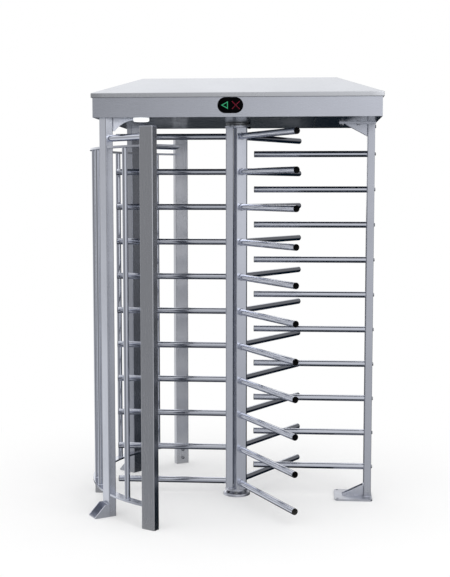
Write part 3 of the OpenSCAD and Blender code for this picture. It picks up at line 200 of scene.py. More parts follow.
def rounded_rectangle(half_x, half_y, radius, corner_steps=5, side_steps=1):
    """Outlines of rounded rectangles, one row for each given size: a quarter circle of the radius round
    each corner's centre, and side_steps equal parts along each side between them."""
    sizes = [np.atleast_1d(value).astype(float) for value in (half_x, half_y, radius)]
    half_x, half_y, radius = np.broadcast_arrays(*sizes)
    start = np.array([0.0, 0.5, 1.0, 1.5]) * np.pi
    angle = start[:, None] + np.linspace(0.0, np.pi / 2, corner_steps + 1)
    sign = np.array([[1, 1], [-1, 1], [-1, -1], [1, -1]])
    centre = sign[None] * np.stack([half_x - radius, half_y - radius], -1)[:, None]
    arc = np.stack([np.cos(angle), np.sin(angle)], -1)[None] * radius[:, None, None, None]
    corners = centre[:, :, None] + arc
    share = np.arange(1, side_steps)[:, None] / side_steps
    after = np.roll(corners[:, :, :1], -1, axis=1)
    sides = corners[:, :, -1:] * (1.0 - share) + after * share
    loop = np.concatenate([corners, sides], 2)
    return loop.reshape(len(half_x), -1, 2)


def lofted(half_x, half_y, radius, height, **steps):
    """Rounded rectangles stacked at the given heights."""
    flat = rounded_rectangle(half_x, half_y, radius, **steps)
    z = np.broadcast_to(np.asarray(height, float)[:, None, None], flat.shape[:2] + (1,))
    return np.concatenate([flat, z], -1)


def rounded_block(low, high, corner, edge, steps=4):
    """An upright block between two corner points, whose plan has rounded corners and whose top and bottom
    edges are quarter circles: at angle a the side stands edge (1 - cos a) in and edge (1 - sin a)
    short."""
    low, high = np.asarray(low, float), np.asarray(high, float)
    half, middle = (high - low) / 2, (high + low) / 2
    a = np.linspace(np.pi / 2, 0.0, steps)
    step_in, short = edge * (1.0 - np.cos(a)), edge * (1.0 - np.sin(a))
    step_in = np.concatenate([step_in, step_in[::-1]])
    z = np.concatenate([low[2] + short, (high[2] - short)[::-1]])
    return lofted(half[0] - step_in, half[1] - step_in, corner - step_in, z) + [middle[0], middle[1], 0.0]


def revolved(profile, steps=32):
    """A profile of (radius, height) turned round Z: x = r cos a, y = r sin a, z = height."""
    radius, height = np.asarray(profile, float).T
    angle = np.arange(steps) * 2.0 * np.pi / steps
    x = radius[:, None] * np.cos(angle)
    y = radius[:, None] * np.sin(angle)
    return np.stack([x, y, np.broadcast_to(height[:, None], x.shape)], -1)


def hex_prism(corner_r, low, high, chamfer_low=False, steps=36):
    """A hexagon head or nut: at angle a its side is at r(a) = flat / cos((a mod 60) - 30 degrees), and a
    30 degree cone takes the corners off: the side ends (r(a) - 0.96 flat) tan 30 short of the face."""
    flat = corner_r * math.cos(math.pi / 6)
    angle = np.arange(steps) * 2.0 * np.pi / steps
    side = flat / np.cos(np.mod(angle, np.pi / 3) - np.pi / 6)
    face = np.full(steps, 0.96 * flat)
    drop = (side - face) * math.tan(math.pi / 6)
    none = np.zeros(steps)
    low_drop = drop if chamfer_low else none
    low_side = face if chamfer_low else side
    radius = np.stack([none, low_side, side, side, face, none])
    height = np.stack([none + low, none + low, low + low_drop, high - drop, none + high, none + high])
    return np.stack([radius * np.cos(angle), radius * np.sin(angle), height], -1)


def thread(radius, low, high, pitch=0.00175, depth=0.0005, steps=16):
    """A threaded end, as a row of rounded ridges: r = radius - depth (1 - cos(2 pi z / pitch)) / 2, with a
    chamfered tip."""
    turns = max(2, int(round((high - low) / pitch)))
    z = np.linspace(low, high - 0.001, turns * 4 + 1)
    r = radius - depth * 0.5 * (1.0 - np.cos(2.0 * np.pi * (z - low) / pitch))
    z = np.concatenate([[low], z, [high, high]])
    r = np.concatenate([[0.0], r, [radius - 0.001, 0.0]])
    return revolved(np.stack([r, z], -1), steps)


def bead(path, lift, radius, ripple, closed=False, around=6):
    """A weld: a round profile carried along a path. With s the distance along it, the profile's radius is
    radius (1 + 0.16 cos(2 pi s / ripple)) in the plane of the two directions square to the path. Open ends
    taper off with the root of the distance from them."""
    ahead = unit(np.roll(path, -1, 0) - np.roll(path, 1, 0) if closed else np.gradient(path, axis=0))
    side = unit(np.cross(ahead, lift))
    up = np.cross(side, ahead)
    step = np.linalg.norm(np.diff(path, axis=0), axis=1)
    along = np.concatenate([[0.0], np.cumsum(step)])
    length = along[-1] + (np.linalg.norm(path[0] - path[-1]) if closed else 0.0)
    ripples = max(1, round(length / ripple))
    swell = radius * (1.0 + 0.16 * np.cos(2.0 * np.pi * ripples * along / length))
    if not closed:
        taper = np.minimum(1.0, np.minimum(along, length - along) / (1.5 * radius))
        swell = swell * np.sqrt(np.maximum(taper, 0.0))
    angle = np.arange(around) * 2.0 * np.pi / around
    out = side[:, None] * np.cos(angle)[None, :, None] + up[:, None] * np.sin(angle)[None, :, None]
    points = path[:, None] + swell[:, None, None] * out
    return np.concatenate([points, points[:1]]) if closed else points


def straight(start, end, step=0.0007):
    """Evenly spaced points from start to end."""
    start, end = np.asarray(start, float), np.asarray(end, float)
    count = max(2, int(np.linalg.norm(end - start) / step) + 1)
    return start + np.linspace(0.0, 1.0, count)[:, None] * (end - start)


def respaced(path, step=0.0007):
    """A closed path of points at equal steps along the given one."""
    path = np.concatenate([path, path[:1]])
    along = np.concatenate([[0.0], np.cumsum(np.linalg.norm(np.diff(path, axis=0), axis=1))])
    even = np.linspace(0.0, along[-1], max(8, int(along[-1] / step)), endpoint=False)
    return np.stack([np.interp(even, along, path[:, i]) for i in range(path.shape[1])], -1)


def placed(points, origin, axis, turn=0.0):
    """Points with their Z axis laid along the given axis from the given origin, after a turn about Z."""
    z = unit(axis)
    x = square_to(z)
    return turned(points, turn) @ np.stack([x, np.cross(z, x), z]) + origin


def turned(points, angle):
    """Points turned about the rotor's axis by an angle in radians."""
    c, s = math.cos(angle), math.sin(angle)
    return points @ np.array([[c, s, 0.0], [-s, c, 0.0], [0.0, 0.0, 1.0]])


def outward(angle, reach=1.0, z=0.0):
    """The point at an angle and a distance from the rotor's axis."""
    return np.array([reach * math.cos(angle), reach * math.sin(angle), z])


def circle(radius, steps):
    """A closed ring of points (r cos a, r sin a)."""
    angle = np.arange(steps) * 2.0 * np.pi / steps
    return radius * np.column_stack([np.cos(angle), np.sin(angle)])


def at_height(plan, z):
    """Points of a plan (x, y) at one height."""
    return np.column_stack([plan, np.full(len(plan), z)])


def grid_faces(rows, columns, first):
    """Corner numbers of the quads between the points of a grid whose columns close on themselves."""
    row = np.arange(rows - 1)[:, None] * columns
    here = np.arange(columns)[None, :]
    after = (here + 1) % columns
    quads = np.stack([row + here, row + after, row + columns + after, row + columns + here], -1)
    return quads.reshape(-1, 4) + first


def make_piece(name, sheets, finish, body, stands_for=()):
    """Joins grids of points into one closed mesh that rides on a body. Rows that meet in a point are
    merged, and open ends are closed with a face."""
    points, faces, first = [], [], 0
    for sheet in sheets:
        rows, columns = sheet.shape[:2]
        points.append(sheet.reshape(-1, 3))
        faces.append(grid_faces(rows, columns, first))
        first += rows * columns
    mesh = bpy.data.meshes.new(name)
    mesh.from_pydata(np.concatenate(points), [], np.concatenate(faces))
    tidy = bmesh.new()
    tidy.from_mesh(mesh)
    bmesh.ops.remove_doubles(tidy, verts=tidy.verts, dist=1e-7)
    bmesh.ops.holes_fill(tidy, edges=[edge for edge in tidy.edges if edge.is_boundary])
    bmesh.ops.recalc_face_normals(tidy, faces=tidy.faces)
    tidy.to_mesh(mesh)
    tidy.free()
    mesh.shade_smooth()
    mesh.set_sharp_from_angle(angle=SHARP_ABOVE)
    mesh.materials.append(bpy.data.materials[finish])
    piece = bpy.data.objects.new(name, mesh)
    bpy.context.scene.collection.objects.link(piece)
    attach(piece, body)
    if stands_for:
        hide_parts(*stands_for)


# Node trees

class Wiring:
    """Adds nodes to a tree and links them."""

    def __init__(self, tree):
        self.tree = tree

    def feed(self, socket, value):
        """Links a socket's value into another, or sets it."""
        if isinstance(value, bpy.types.NodeSocket):
            self.tree.links.new(value, socket)
        else:
            socket.default_value = value

    def connect(self, node, **values):
        """Feeds the inputs of those names."""
        for key, value in values.items():
            self.feed(node.inputs[key.replace("_", " ")], value)

    def fill(self, node, values):
        """Feeds the first inputs in their order, and gives the first output."""
        for socket, value in zip(node.inputs, values):
            self.feed(socket, value)
        return node.outputs[0]

    def node(self, kind, settings=None, **values):
        """A node with its settings, and values for the inputs of those names."""
        node = self.tree.nodes.new(kind)
        for key, value in (settings or {}).items():
            setattr(node, key, value)
        self.connect(node, **values)
        return node

    def sums(self, operation, *values, clamp=False):
        """A Math node of the given operation on up to three values."""
        return self.fill(self.node("ShaderNodeMath", {"operation": operation, "use_clamp": clamp}), values)

    def raised(self, value, mask, amount):
        """A value raised by an amount where a mask is."""
        return self.sums("ADD", value, self.sums("MULTIPLY", mask, amount))

    def spread(self, value, low, high, out_low=0.0, out_high=1.0, shape="LINEAR"):
        """The value moved from one range to another, and held inside it."""
        node = self.node("ShaderNodeMapRange", {"interpolation_type": shape, "clamp": True})
        return self.fill(node, (value, low, high, out_low, out_high))

    def between(self, share, low, high):
        """A number between two others."""
        return self.spread(share, 0.0, 1.0, low, high)

    def blend(self, share, first, second):
        """A colour between two others."""
        node = self.node("ShaderNodeMix", {"data_type": "RGBA"})
        self.feed(node.inputs[0], share)
        for socket, colour in ((node.inputs[6], first), (node.inputs[7], second)):
            self.feed(socket, (*colour, 1.0) if isinstance(colour, tuple) else colour)
        return node.outputs[2]

    def overlaid(self, tone, other, mask, strength):
        """A tone under another that shows where a mask is, at a strength."""
        return self.blend(self.sums("MULTIPLY", mask, strength), tone, other)

    def vectors(self, operation, *values):
        """A Vector Math node of the given operation on one or two vectors."""
        node = self.node("ShaderNodeVectorMath", {"operation": operation})
        self.fill(node, values)
        return node.outputs

    def components(self, vector):
        """The X, Y and Z of a vector."""
        return self.node("ShaderNodeSeparateXYZ", None, Vector=vector).outputs

    def effect(self, name, **values):
        """One of the shared effects, with its own values."""
        return self.node("ShaderNodeGroup", {"node_tree": bpy.data.node_groups[name]}, **values).outputs

    def relief(self, height, strength, distance, normal=None):
        """The surface's normal with fine relief on it, over a given normal."""
        bump = self.node("ShaderNodeBump", None, Strength=strength, Distance=distance, Height=height)
        if normal:
            self.feed(bump.inputs["Normal"], normal)
        return bump.outputs["Normal"]

    def object_place(self):
        """The point's place in the machine's own frame."""
        return self.node("ShaderNodeTexCoord").outputs["Object"]

    def noise(self, vector, scale, detail=2.0, roughness=0.5):
        """Soft noise between 0 and 1."""
        values = {"Vector": vector, "Scale": scale, "Detail": detail, "Roughness": roughness}
        return self.node("ShaderNodeTexNoise", None, **values).outputs["Fac"]


def effect_group(name, inputs, outputs):
    """An empty shader group with inputs, which have values, and outputs. An input of three numbers and an
    output named Normal are vectors, the others are numbers."""
    tree = bpy.data.node_groups.new(name, "ShaderNodeTree")
    kinds = ("NodeSocketFloat", "NodeSocketVector")
    for label, value in inputs.items():
        kind = kinds[isinstance(value, tuple)]
        tree.interface.new_socket(label, in_out="INPUT", socket_type=kind).default_value = value
    for label in outputs:
        tree.interface.new_socket(label, in_out="OUTPUT", socket_type=kinds[label == "Normal"])
    given = tree.nodes.new("NodeGroupInput").outputs
    results = tree.nodes.new("NodeGroupOutput").inputs
    return Wiring(tree), given, results


def make_brushed_grain():
    """Grain of brushed steel: noise drawn out along one direction by a stretch on each axis."""
    stretch = {"Stretch": (40.0, 40.0, 1500.0)}
    wires, given, results = effect_group("brushed_grain", stretch, ["Tone", "Height"])
    drawn = wires.vectors("MULTIPLY", wires.object_place(), given["Stretch"])[0]
    fine = wires.noise(drawn, 1.0, 3.0, 0.6)
    broad = wires.noise(drawn, 0.4, 1.0, 0.5)
    wires.feed(results["Tone"], wires.spread(wires.sums("ADD", fine, broad), 0.7, 1.3))
    wires.feed(results["Height"], fine)


def make_hand_marks():
    """Soft cloudy marks of handling and cleaning."""
    wires, given, results = effect_group("hand_marks", {"Scale": 6.0}, ["Marks"])
    clouds = wires.noise(wires.object_place(), given["Scale"], 4.0, 0.55)
    wires.feed(results["Marks"], wires.spread(clouds, 0.34, 0.68, shape="SMOOTHSTEP"))


def make_settled_dust():
    """Dust that thickens towards the floor and lies on faces that look up."""
    wires, given, results = effect_group("settled_dust", {"Reach": 0.25, "Upward": 0.3}, ["Dust"])
    place = wires.object_place()
    share = wires.sums("DIVIDE", wires.components(place)["Z"], given["Reach"])
    near_floor = wires.sums("POWER", wires.sums("SUBTRACT", 1.0, share, clamp=True), 2.0)
    looks_up = wires.components(wires.node("ShaderNodeNewGeometry").outputs["Normal"])["Z"]
    looks_up = wires.sums("MULTIPLY", wires.spread(looks_up, 0.6, 1.0), given["Upward"])
    lying = wires.sums("MAXIMUM", near_floor, looks_up)
    patchy = wires.spread(wires.noise(place, 18.0, 5.0, 0.6), 0.3, 0.7, 0.25, 1.0)
    wires.feed(results["Dust"], wires.sums("MULTIPLY", lying, patchy))


def make_worn_edges():
    """Edges rubbed bright: where the rounded normal leaves the flat one, broken up by noise."""
    wires, given, results = effect_group("worn_edges", {"Radius": 0.0012}, ["Edge", "Normal"])
    rounded = wires.node("ShaderNodeBevel", {"samples": 4}, Radius=given["Radius"]).outputs["Normal"]
    flat = wires.node("ShaderNodeNewGeometry").outputs["Normal"]
    edge = wires.spread(wires.vectors("DOT_PRODUCT", rounded, flat)["Value"], 0.98, 0.8)
    broken = wires.spread(wires.noise(wires.object_place(), 60.0, 4.0, 0.6), 0.35, 0.6, 0.2, 1.0)
    wires.feed(results["Edge"], wires.sums("MULTIPLY", edge, broken))
    wires.feed(results["Normal"], rounded)


def make_moulded_grain():
    """Fine pebbled skin of moulded plastic and cast metal."""
    wires, given, results = effect_group("moulded_grain", {"Scale": 1200.0}, ["Tone", "Height"])
    place = wires.object_place()
    scale = given["Scale"]
    pebbles = wires.node("ShaderNodeTexVoronoi", {"feature": "SMOOTH_F1"}, Vector=place, Scale=scale)
    wires.feed(results["Height"], pebbles.outputs["Distance"])
    wires.feed(results["Tone"], wires.noise(place, wires.sums("MULTIPLY", scale, 0.05), 4.0, 0.6))


def new_finish(name):
    """An empty finish: its wiring and its shader."""
    material = bpy.data.materials.new(name)
    material.use_nodes = True
    return Wiring(material.node_tree), material.node_tree.nodes["Principled BSDF"]


def scaled(colour, factor):
    """A colour made darker or lighter by a factor."""
    return tuple(min(1.0, channel * factor) for channel in colour)


LEVEL_GRAIN = (30.0, 30.0, 3200.0)
UPRIGHT_GRAIN = (3200.0, 3200.0, 24.0)
LONG_GRAIN = (24.0, 3000.0, 3000.0)
MILLED_GRAIN = (900.0, 900.0, 900.0)
DUST = (0.30, 0.285, 0.26)
BARE_METAL = (0.45, 0.46, 0.48)


def steel(name, colour, roughness, stretch, depth=0.015, contrast=0.05, marks=5.0, edge=0.0):
    """Brushed steel: its tone and roughness follow the grain and the marks of hands, its foot is dusty,
    and its edges may be rubbed bright."""
    wires, shader = new_finish(name)
    grain = wires.effect("brushed_grain", Stretch=stretch)
    hands = wires.effect("hand_marks", Scale=marks)["Marks"]
    dust = wires.effect("settled_dust", Reach=0.12, Upward=0.12)["Dust"]
    tone = wires.blend(grain["Tone"], scaled(colour, 1.0 - contrast), scaled(colour, 1.0 + contrast * 0.6))
    tone = wires.overlaid(tone, scaled(colour, 0.86), hands, 0.2)
    rough = wires.between(grain["Tone"], roughness * 0.85, roughness * 1.15)
    rough = wires.raised(rough, hands, 0.04)
    normal = None
    if edge:
        worn = wires.effect("worn_edges", Radius=edge)
        tone = wires.overlaid(tone, scaled(colour, 1.25), worn["Edge"], 0.5)
        rough = wires.raised(rough, worn["Edge"], -0.08)
        normal = worn["Normal"]
    tone = wires.overlaid(tone, DUST, dust, 0.4)
    rough = wires.raised(rough, dust, 0.12)
    normal = wires.relief(grain["Height"], depth, 0.0004, normal)
    wires.connect(shader, Base_Color=tone, Roughness=rough, Metallic=1.0, Normal=normal)


def moulded(name, colour, roughness, depth=0.08, upward=0.25, edge=0.0008, gloss=0.5, rub=0.02):
    """Moulded plastic or rubber: pebbled skin, uneven sheen, pale dust on top and paler edges."""
    wires, shader = new_finish(name)
    skin = wires.effect("moulded_grain", Scale=1200.0)
    hands = wires.effect("hand_marks", Scale=14.0)["Marks"]
    dust = wires.effect("settled_dust", Reach=0.15, Upward=upward)["Dust"]
    worn = wires.effect("worn_edges", Radius=edge)
    tone = wires.blend(skin["Tone"], scaled(colour, 0.8), scaled(colour, 1.2))
    tone = wires.overlaid(tone, tuple(channel * 1.5 + rub for channel in colour), worn["Edge"], 0.35)
    tone = wires.overlaid(tone, DUST, dust, 0.35)
    rough = wires.between(hands, roughness - 0.06, roughness + 0.1)
    normal = wires.relief(skin["Height"], depth, 0.0003, worn["Normal"])
    wires.connect(shader, Base_Color=tone, Roughness=rough, Specular_IOR_Level=gloss, Normal=normal)


def painted(name, colour, roughness):
    """Powder coat with orange peel, rubbed through to metal along its edges."""
    wires, shader = new_finish(name)
    skin = wires.effect("moulded_grain", Scale=420.0)
    hands = wires.effect("hand_marks", Scale=9.0)["Marks"]
    worn = wires.effect("worn_edges", Radius=0.0015)
    dust = wires.effect("settled_dust", Reach=0.2, Upward=0.5)["Dust"]
    bare = wires.spread(worn["Edge"], 0.55, 0.75)
    tone = wires.blend(hands, scaled(colour, 1.08), scaled(colour, 0.88))
    tone = wires.overlaid(tone, DUST, dust, 0.4)
    tone = wires.blend(bare, tone, BARE_METAL)
    rough = wires.between(hands, roughness - 0.05, roughness + 0.12)
    normal = wires.relief(skin["Height"], 0.12, 0.0004, worn["Normal"])
    wires.connect(shader, Base_Color=tone, Roughness=rough, Metallic=bare, Normal=normal)


def glowing(name, colour, strength, roughness, pattern_scale=900.0):
    """A lit cover: its colour and its light share one soft pattern."""
    wires, shader = new_finish(name)
    pattern = wires.noise(wires.object_place(), pattern_scale, 2.0, 0.5)
    tone = wires.blend(pattern, scaled(colour, 0.8), colour)
    rough = wires.between(pattern, roughness - 0.05, roughness + 0.05)
    wires.connect(shader, Base_Color=tone, Roughness=rough)
    wires.connect(shader, Emission_Color=tone, Emission_Strength=strength)


def glazed_black(name):
    """Glossy dark window with faint wipe marks."""
    wires, shader = new_finish(name)
    hands = wires.effect("hand_marks", Scale=22.0)["Marks"]
    tone = wires.blend(hands, (0.0006, 0.0006, 0.0008), (0.0016, 0.0016, 0.0020))
    rough = wires.between(hands, 0.12, 0.26)
    wires.connect(shader, Base_Color=tone, Roughness=rough, Specular_IOR_Level=0.02)


def make_finishes(finish):
    """All the finishes, under the names of the record's material slots."""
    rough = finish.roughness
    tube = tuple(finish.steel)
    roof = tuple(finish.roof)
    steel("tube_steel", tube, rough * 0.4, LEVEL_GRAIN, depth=0.004, contrast=0.03, marks=4.0)
    steel("column_steel", tube, rough, UPRIGHT_GRAIN)
    steel("post_steel", scaled(tube, 0.87), rough + 0.01, UPRIGHT_GRAIN)
    steel("end_post_steel", (0.53, 0.542, 0.585), rough + 0.02, UPRIGHT_GRAIN, contrast=0.04)
    steel("bracket_steel", scaled(tube, 1.08), rough + 0.06, LONG_GRAIN, edge=0.0012)
    steel("rail_steel", tube, rough * 0.8, LEVEL_GRAIN, edge=0.0010)
    steel("canopy_sheet", tube, rough + 0.06, LONG_GRAIN, contrast=0.08, marks=3.0, edge=0.0015)
    steel("lid_sheet", roof, rough + 0.08, MILLED_GRAIN, contrast=0.04, marks=2.5)
    # The ceiling sheet's dark tone is painted shade and painted dark reflection under the canopy, not the
    # sheet's own colour.
    steel("ceiling_sheet", tuple(finish.ceiling), rough, LONG_GRAIN, contrast=0.08, marks=2.0)
    steel("machined_steel", (0.24, 0.245, 0.26), 0.26, MILLED_GRAIN, contrast=0.12, edge=0.0006)
    steel("hardened_steel", (0.22, 0.22, 0.23), 0.34, MILLED_GRAIN, contrast=0.2, edge=0.0008)
    steel("bearing_steel", (0.66, 0.66, 0.67), 0.16, MILLED_GRAIN, depth=0.02)
    steel("bearing_bronze", (0.62, 0.40, 0.19), 0.32, MILLED_GRAIN, contrast=0.15)
    steel("bolt_steel", (0.30, 0.31, 0.34), 0.18, MILLED_GRAIN, contrast=0.12, edge=0.0006)
    steel("damper_metal", (0.50, 0.51, 0.53), 0.38, MILLED_GRAIN, contrast=0.12, edge=0.0008)
    steel("supply_metal", (0.60, 0.61, 0.62), 0.42, LEVEL_GRAIN, contrast=0.08, edge=0.0008)
    painted("housing_iron", (0.13, 0.16, 0.19), 0.5)
    painted("frame_paint", (0.21, 0.22, 0.235), 0.45)
    black = (0.0012, 0.0012, 0.0014)
    moulded("black_plastic", black, 0.45, upward=0.0, edge=0.0003, gloss=0.04, rub=0.004)
    moulded("grey_plastic", (0.17, 0.19, 0.175), 0.42)
    moulded("lamp_body", (0.72, 0.72, 0.71), 0.4)
    moulded("seal_rubber", (0.018, 0.018, 0.018), 0.7, depth=0.15)
    moulded("coil_plastic", (0.035, 0.07, 0.19), 0.4)
    moulded("control_plastic", (0.095, 0.10, 0.11), 0.5, depth=0.15)
    glazed_black("indicator_black")
    glowing("green_light", tuple(finish.green), 0.7, 0.3)
    glowing("red_light", tuple(finish.red), 0.7, 0.3)
    glowing("lamp_diffuser", (0.95, 0.96, 0.97), 0.75, 0.5, 40.0)


class TURNSTILE_OT_finishes(bpy.types.Operator):
    """Make the shared effects and the finishes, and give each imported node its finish"""
    bl_idname = "turnstile.finishes"
    bl_label = "Finishes"

    def execute(self, context):
        for make_effect in (make_brushed_grain, make_hand_marks, make_settled_dust, make_worn_edges,
                            make_moulded_grain):
            make_effect()
        plain = {material.name: material for material in bpy.data.materials}
        for name, material in plain.items():
            material.name = "packed_" + name
        make_finishes(context.scene.turnstile_finish)
        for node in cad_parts.values():
            for slot, packed in zip(node.material_slots, list(node.data.materials)):
                slot.material = bpy.data.materials[packed.name.removeprefix("packed_")]
        return {"FINISHED"}


WELD_OUT = 0.0004                # how far the middle of a weld stands off its tube


class TURNSTILE_OT_rotor_welds(bpy.types.Operator):
    """Weld beads round each arm where it enters its column tube, and round the ends of the column tubes"""
    bl_idname = "turnstile.rotor_welds"
    bl_label = "Rotor welds"

    def execute(self, context):
        sizes = context.scene.turnstile_sizes
        radius, ripple = sizes.weld_radius, sizes.weld_ripple
        across = circle(TUBE_R + WELD_OUT, 144)
        ring = np.column_stack([np.full(len(across), COLUMN_FACE), across])
        foot = rounded_rectangle(COLUMN_D / 2, COLUMN_W / 2, EDGE_ROUND)[0]
        foot = respaced(foot + [COLUMN_MIDDLE, 0.0], 0.0008)
        beads = []
        for angle in WING_ANGLES:
            for k in range(sizes.arm_count):
                path = ring + [0.0, 0.0, sizes.first_arm_z + k * sizes.arm_pitch]
                beads.append(turned(bead(path, RIGHT, radius, ripple, True), angle))
            for z in COLUMN_Z:
                beads.append(turned(bead(at_height(foot, z), UP, radius * 0.8, ripple, True), angle))
        make_piece("rotor_welds", beads, "column_steel", "rotor")
        return {"FINISHED"}


class TURNSTILE_OT_frame_welds(bpy.types.Operator):
    """Weld beads on the comb post, its gussets, the stub leg, the cage posts and the upright tubes"""
    bl_idname = "turnstile.frame_welds"
    bl_label = "Frame welds"

    def execute(self, context):
        sizes = context.scene.turnstile_sizes
        radius, ripple = sizes.weld_radius, sizes.weld_ripple
        beads = []
        outline = rounded_rectangle(POST_T / 2, POST_W / 2, EDGE_ROUND)[0]
        comb = outline + [(POST_BOX[0].x + POST_BOX[1].x) / 2, 0.0]
        stub = outline + [-STUB_R, 0.0]
        for plan, z, width in ((comb, POST_BOX[0].z, radius), (comb, POST_BOX[1].z, radius),
                               (stub, STUB_TOP, 0.6 * radius)):
            beads.append(bead(at_height(respaced(plan), z), UP, width, ripple, True, around=8))
        face = POST_BOX[0].x
        for side in (-GUSSET_HALF, GUSSET_HALF):
            for z, (reach, height) in ((FOOT_Z, FOOT_GUSSET), (HEAD_Z, HEAD_GUSSET)):
                flat = straight((face - reach, side, z), (face - 0.005, side, z))
                tall = straight((face, side, z + 0.1 * height), (face, side, z + height))
                beads.append(bead(flat, UP, radius * 0.9, ripple))
                beads.append(bead(tall, RIGHT, radius * 0.9, ripple))
        near, far = BRACKET_WELD
        for angle in CARRY_ANGLES:
            for side in (-POST_W / 2, POST_W / 2):
                for reach, low, high in ((CAGE_R + POST_T / 2, near, far),
                                         (CAGE_R - POST_T / 2, CANOPY_Z - far, CANOPY_Z - near)):
                    tall = straight((reach, side, low), (reach, side, high))
                    beads.append(turned(bead(tall, RIGHT, radius * 0.9, ripple), angle))
        ring = circle(UPRIGHT_R, 120)
        for angle in UPRIGHT_ANGLES:
            for z in RAIL_Z:
                path = at_height(ring, z) + outward(angle, UPRIGHT_RING)
                beads.append(bead(path, UP, radius * 0.85, ripple, True))
        make_piece("frame_welds", beads, "bracket_steel", "frame")
        return {"FINISHED"}


def plug_surface(radius, head=0.003, stem=0.017, wall=0.0027, rounding=0.0014, dish=0.0008):
    """A tube plug that ends at z = 0: a stem in the tube, then a head whose rim is rounded by a quarter
    circle and whose face is dished."""
    rim = np.linspace(0.0, np.pi / 2, 6)
    edge = np.stack([radius - rounding + rounding * np.cos(rim), -rounding + rounding * np.sin(rim)], -1)
    bore, end = radius - wall, -head - stem
    inside = [[0.0, end], [bore - 0.001, end], [bore, end + 0.002], [bore, -head], [radius, -head]]
    face = [[radius * 0.72, 0.0], [radius * 0.62, -dish], [0.0, -dish]]
    return revolved(np.concatenate([inside, edge, face]))


class TURNSTILE_OT_plugs(bpy.types.Operator):
    """Plugs with rounded rims in the ends of the arms and of the comb bars"""
    bl_idname = "turnstile.plugs"
    bl_label = "Plugs"

    def execute(self, context):
        sizes = context.scene.turnstile_sizes
        plug = plug_surface(TUBE_R)
        heights = sizes.first_arm_z + np.arange(sizes.arm_count) * sizes.arm_pitch
        arms = [placed(plug, outward(angle, sizes.arm_tip, z), outward(angle))
                for angle in WING_ANGLES for z in heights]
        make_piece("tip_plugs", arms, "black_plastic", "rotor", ["arm_plugs"])
        free_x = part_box("barrier_plugs")[0].x
        comb = [placed(plug, (free_x, 0.0, z + sizes.arm_pitch / 2), LEFT) for z in heights[:-1]]
        make_piece("comb_plugs", comb, "grey_plastic", "frame", ["barrier_plugs"])
        return {"FINISHED"}


HEX_R = 0.0098                   # corner radius of a hexagon that is 17 mm across its flats


def hex_bolt(grip, corner_r=HEX_R, head_h=0.007, shank_r=0.005, nut_at=None, nut_h=0.008):
    """A bolt whose head stands on z = 0, its threaded shank below, and a nut under the clamped length."""
    parts = [hex_prism(corner_r, 0.0, head_h)]
    if grip:
        parts.append(thread(shank_r, -grip, 0.0005))
    if nut_at is not None:
        parts.append(hex_prism(corner_r, -nut_at - nut_h, -nut_at, True))
    return parts


# Places of the fasteners, in metres
HEAD_BOLTS = ((0.565, 0.030), (0.565, -0.030), (0.652, 0.032), (0.652, -0.032))  # x and y
POST_TOP_BOLT = 0.020            # below the canopy
CARRY_BOLT_R = 0.657             # from the rotor's axis
FLANGE_BOLT = (0.057, 0.015)     # distance from the axis and height, and the same for the housing
HOUSING_BOLT = (0.057, 2.105)
BASE_BOLT = (0.200, 0.130, 2.096)  # x, y and height
INNER_BOLTS = ((END_ANGLES[1], 0.755, 0.120), (END_ANGLES[0], 0.755, 0.087), (END_ANGLES[0], 0.755, 0.038),
               (math.pi, 0.750, 0.022))  # angle, distance from the axis and height
STUD_R = 0.006
TOP_STUD = (2.022, 2.044)
TOP_NUT = (2.030, 2.036)
FOOT_STUD = (0.028, 0.052)
FOOT_NUT = (0.038, 0.046)


class TURNSTILE_OT_fasteners(bpy.types.Operator):
    """Chamfered hexagon bolts, nuts and studs"""
    bl_idname = "turnstile.fasteners"
    bl_label = "Fasteners"

    def execute(self, context):
        sizes = context.scene.turnstile_sizes
        bolts = []

        def add(parts, origin, axis, turn=0.0):
            bolts.extend(placed(part, origin, axis, turn) for part in parts)

        post_face = POST_BOX[1].x
        for k in range(sizes.arm_count - 1):
            z = sizes.first_arm_z + (k + 0.5) * sizes.arm_pitch
            add(hex_bolt(0.019), (post_face, 0.0, z), RIGHT, k * 0.7)
        add(hex_bolt(0.0), (post_face, 0.0, CANOPY_Z - POST_TOP_BOLT), RIGHT, 0.3)
        for x, y in HEAD_BOLTS:
            add(hex_bolt(0.028, nut_at=0.018), (x, y, CANOPY_Z - HEAD_PLATE_T), DOWN, x * 40)
        for angle in CARRY_ANGLES:
            place = outward(angle, CARRY_BOLT_R, CANOPY_Z - BRACKET_T)
            add(hex_bolt(0.025, nut_at=0.015), place, DOWN, angle)
        for angle in np.radians([-90.0, 30.0, 150.0]):
            add(hex_bolt(0.015, head_h=0.011, shank_r=STUD_R), outward(angle, *FLANGE_BOLT), UP, angle)
        for angle, reach, z in INNER_BOLTS:
            add(hex_bolt(0.0), outward(angle, reach, z), -outward(angle))
        for angle in np.radians([45.0, 135.0, 225.0, 315.0]):
            small = hex_bolt(0.017, corner_r=0.0075, head_h=0.0055, shank_r=0.004)
            add(small, outward(angle, *HOUSING_BOLT), UP, angle)
        for x in (-BASE_BOLT[0], BASE_BOLT[0]):
            for y in (-BASE_BOLT[1], BASE_BOLT[1]):
                add(hex_bolt(0.011), (x, y, BASE_BOLT[2]), UP, x + y)
        make_piece("bolts", bolts, "bolt_steel", "frame", ["frame_bolts"])

        bolts.clear()
        for k in range(6):
            place = outward(k * math.pi / 3, STUD_RING)
            add([thread(STUD_R, *TOP_STUD), hex_prism(HEX_R, *TOP_NUT, True)], place, UP)
            if k % 2:
                add([thread(STUD_R, *FOOT_STUD), hex_prism(HEX_R, *FOOT_NUT, True)], place, UP)
        make_piece("studs", bolts, "bolt_steel", "rotor", ["rotor_bolts"])
        return {"FINISHED"}


HEM_ROUND = 0.0008


